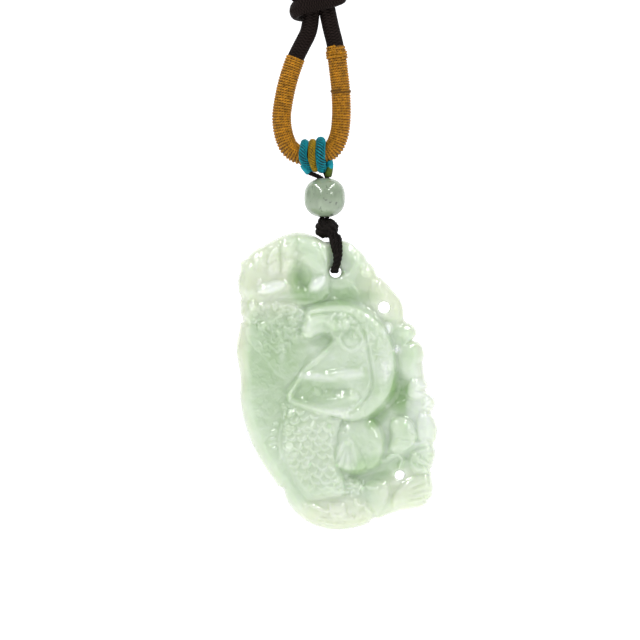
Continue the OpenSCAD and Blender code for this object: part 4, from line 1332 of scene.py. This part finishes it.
class PENDANT_OT_thin_cord(bpy.types.Operator):
    """Makes the tails, the strands through the bead, the knot and the loop in the stone"""

    bl_idname = "pendant.thin_cord"
    bl_label = "Thin cord"

    def strand(self, name, paths, radius, material, slot, node, plies=3, pitch=1.6):
        made_along(
            name, "thread", paths, slot, node, Core_Radius=0.0, Pitch=1.0,
            Thread_Radius=radius * MM, Plies=plies, Ply_Pitch=pitch * MM, Core_Step=0.2 * MM,
            Ply_Step=0.12 * MM, Sides=8, Material=material,
        )

    def execute(self, context):
        threads, cords = context.scene.pendant_thread, context.scene.pendant_cord
        thin_r = cords.strand_d / 2 / MM
        dark = thread_finish("Thin dark cord", tuple(cords.thin), 0.6, 0.1)
        blue = thread_finish("Blue tail thread", tuple(threads.blue))
        olive = thread_finish("Olive tail thread", tuple(threads.green))
        for name, path, radius, tone, slot, node in (
            ("left_tail", [(-3.0, -1.0, -300.7), (-2.6, -0.9, -301.3), (-2.0, -0.6, -302.0)],
             0.66, blue, "blue_thread", "tail_wrap_left"),
            ("right_tail_blue", [(2.15, -0.6, -299.9), (2.3, -0.6, -300.6), (2.2, -0.5, -301.3)],
             0.68, blue, "blue_thread", "tail_wrap_right"),
            ("right_tail_olive", [(2.2, -0.5, -301.1), (2.05, -0.4, -302), (1.9, -0.3, -302.7)],
             0.72, olive, "green_thread", "tail_wrap_right"),
        ):
            self.strand(name, [path], radius, tone, slot, node, 5, 1.9)
        bx, bz = BEAD_AT
        top, foot = bz + 3.6, bz - 4
        left = smooth_route([
            (-2.4, -0.6, -301.9), (-1.2, -0.5, -302.4), (0.2, -0.1, -303.0),
            (bx - 0.45, 0, top), (bx - 0.5, 0, bz), (bx - 0.5, 0, foot),
        ], 0.3)
        right = smooth_route([
            (1.35, 0.1, -302.2), (1.55, 0, -302.7),
            (bx + 0.5, 0, top), (bx + 0.5, 0, bz), (bx + 0.5, 0, foot),
        ], 0.3)
        behind = [(1.5, 0.6, -300.2), (1.35, 0.5, -301.2), (1.35, 0.1, -302.3)]
        for name, path, node in (
            ("cord_behind_the_tail", behind, "tail_wrap_right"),
            ("left_strand", left, "bead_strand_left"),
            ("right_strand", right, "bead_strand_right"),
        ):
            self.strand(name, [path], thin_r, dark, "thin_cord", node)
        kx, kz = LOW_KNOT_AT
        turns = [
            turn_of_cord((kx - 0.3, 0, kz + 0.1), (0.72, 0, 0.6), (-0.15, 1, 0.1), 1.45),
            turn_of_cord((kx + 0.1, 0, kz + 0.95), (0.95, 0, -0.25), (0, 1, 0.15), 1.15),
            turn_of_cord((kx + 0.05, 0, kz + 0.3), (1, 0, 0.05), (0, 1, 0.1), 1.49),
            turn_of_cord((kx + 0.3, 0, kz - 0.75), (0.9, 0, 0.35), (0, 1, -0.2), 1.25),
            [(kx, 0, kz + 1.5), (kx, 0, kz), (kx + 0.4, 0, kz - 1.5)],
        ]
        self.strand(
            "knot_under_the_bead", turns, 0.84, dark, "thin_cord", "lower_knot", 3, 3.0
        )
        hx, hz = CORD_HOLE
        heights = (7.9, 6.7, 5.8, 4.4, 3, 1.6, 0.5, 0.2)
        out = (-1.5, -2.1, -2.9, -3.5, -3.7, -3.7, -3.3, -1.7)
        loops = []
        for across in (
            (-1.6, -0.9, -0.7, -0.35, 0.0, -0.1, -0.5, -0.5),
            (-1.2, 0.0, 0.1, 0.3, 0.4, 0.25, -0.15, -0.15),
            (-0.8, 0.75, 0.9, 0.95, 0.9, 0.6, 0.2, 0.2),
        ):
            front = list(zip(across, out, heights))
            back = [(x, -1.15 * y, z) for x, y, z in front[::-1]]
            route = smooth_route(front + [(across[-1], 0, 0.2)] + back, 0.3)
            loops.append([(hx + x, y, hz + z) for x, y, z in route])
        self.strand(
            "loop_through_the_stone", loops, 0.46, dark, "thin_cord", "pendant_loop", 3, 2.6
        )
        return {"FINISHED"}


class PENDANT_OT_stage(bpy.types.Operator):
    """Makes the camera, the pale floor and backdrop, and soft studio light"""

    bl_idname = "pendant.stage"
    bl_label = "Stage"

    def execute(self, context):
        scene, settings = context.scene, context.scene.pendant_stage
        data = bpy.data.cameras.new("camera")
        data.sensor_width = 36
        data.lens = data.sensor_width / 2 * settings.distance / (HALF_FRAME * PIXEL * MM)
        data.clip_start, data.clip_end = 0.05, 20
        camera = bpy.data.objects.new("camera", data)
        camera.location = (VIEW_AT[0] * MM, -settings.distance, VIEW_AT[1] * MM)
        camera.rotation_euler = (math.pi / 2, 0, 0)
        scene.collection.objects.link(camera)
        scene.camera = camera
        scene.view_settings.view_transform = "Standard"
        for name, far, top, material in (
            ("floor", -6, 0, pale_finish("Pale floor", 0.9, 0.5, 0.35)),
            ("backdrop", 4, 6, pale_finish("Pale backdrop", 1.0, 0.9, 0.55)),
        ):
            corners = [(-6, far, 0), (6, far, 0), (6, 4, top), (-6, 4, top)]
            mesh = bpy.data.meshes.new(name)
            corners = [(x, y, z + settings.floor) for x, y, z in corners]
            mesh.from_pydata(corners, [], [(0, 1, 2, 3)])
            mesh.materials.append(material)
            placed(name, mesh)
        world = bpy.data.worlds.new("soft room")
        world.use_nodes = True
        room = world.node_tree.nodes["Background"].inputs
        room["Color"].default_value = (0.95, 0.97, 1, 1)
        room["Strength"].default_value = 0.515
        scene.world = world
        target = Vector((0, 0, -0.33))
        for name, place, size, power, lean in (
            ("softbox above left", (-0.32, -0.8, 0.08), (0.14, 0.2), 0.4, None),
            ("softbox right", (0.5, -0.6, -0.1), (0.12, 0.18), 0.3, None),
            ("tube above left", (-0.21, -0.19, -0.01), (0.04, 0.56), 0.8, -0.55),
            ("tube above right", (0.21, -0.19, -0.01), (0.04, 0.56), 0.8, 0.55),
        ):
            light = bpy.data.lights.new(name, "AREA")
            light.shape = "RECTANGLE"
            light.size, light.size_y = size
            light.energy = power * settings.light
            lamp = bpy.data.objects.new(name, light)
            lamp.location = place
            aim = (target - Vector(place)).to_track_quat("-Z", "Y").to_euler()
            lamp.rotation_euler = aim if lean is None else (0, lean, 0)
            scene.collection.objects.link(lamp)
        return {"FINISHED"}


OPERATORS = (
    PENDANT_OT_stage,
    PENDANT_OT_neck_cord,
    PENDANT_OT_top_knot,
    PENDANT_OT_gold_thread,
    PENDANT_OT_rings,
    PENDANT_OT_thin_cord,
    PENDANT_OT_bead,
    PENDANT_OT_stone,
)
SETTINGS = {
    "pendant_stone": StoneSettings,
    "pendant_thread": ThreadSettings,
    "pendant_cord": CordSettings,
    "pendant_stage": StageSettings,
}


class PENDANT_PT_panel(bpy.types.Panel):
    """Lists the pendant's pieces and their sizes and colours"""

    bl_idname = "PENDANT_PT_panel"
    bl_label = "Jade pendant"
    bl_space_type = "VIEW_3D"
    bl_region_type = "UI"
    bl_category = "Pendant"

    def draw(self, context):
        for kind in OPERATORS:
            self.layout.operator(kind.bl_idname)
        for name, group in SETTINGS.items():
            box = self.layout.box()
            for key in group.__annotations__:
                box.prop(getattr(context.scene, name), key)


def register():
    for kind in (*SETTINGS.values(), *OPERATORS, PENDANT_PT_panel):
        bpy.utils.register_class(kind)
    for name, group in SETTINGS.items():
        setattr(bpy.types.Scene, name, bpy.props.PointerProperty(type=group))


def unregister():
    for name in SETTINGS:
        delattr(bpy.types.Scene, name)
    for kind in (PENDANT_PT_panel, *OPERATORS[::-1], *SETTINGS.values()):
        bpy.utils.unregister_class(kind)


def main():
    register()
    for kind in OPERATORS:
        group, name = kind.bl_idname.split(".")
        getattr(getattr(bpy.ops, group), name)()


if __name__ == "__main__":
    main()
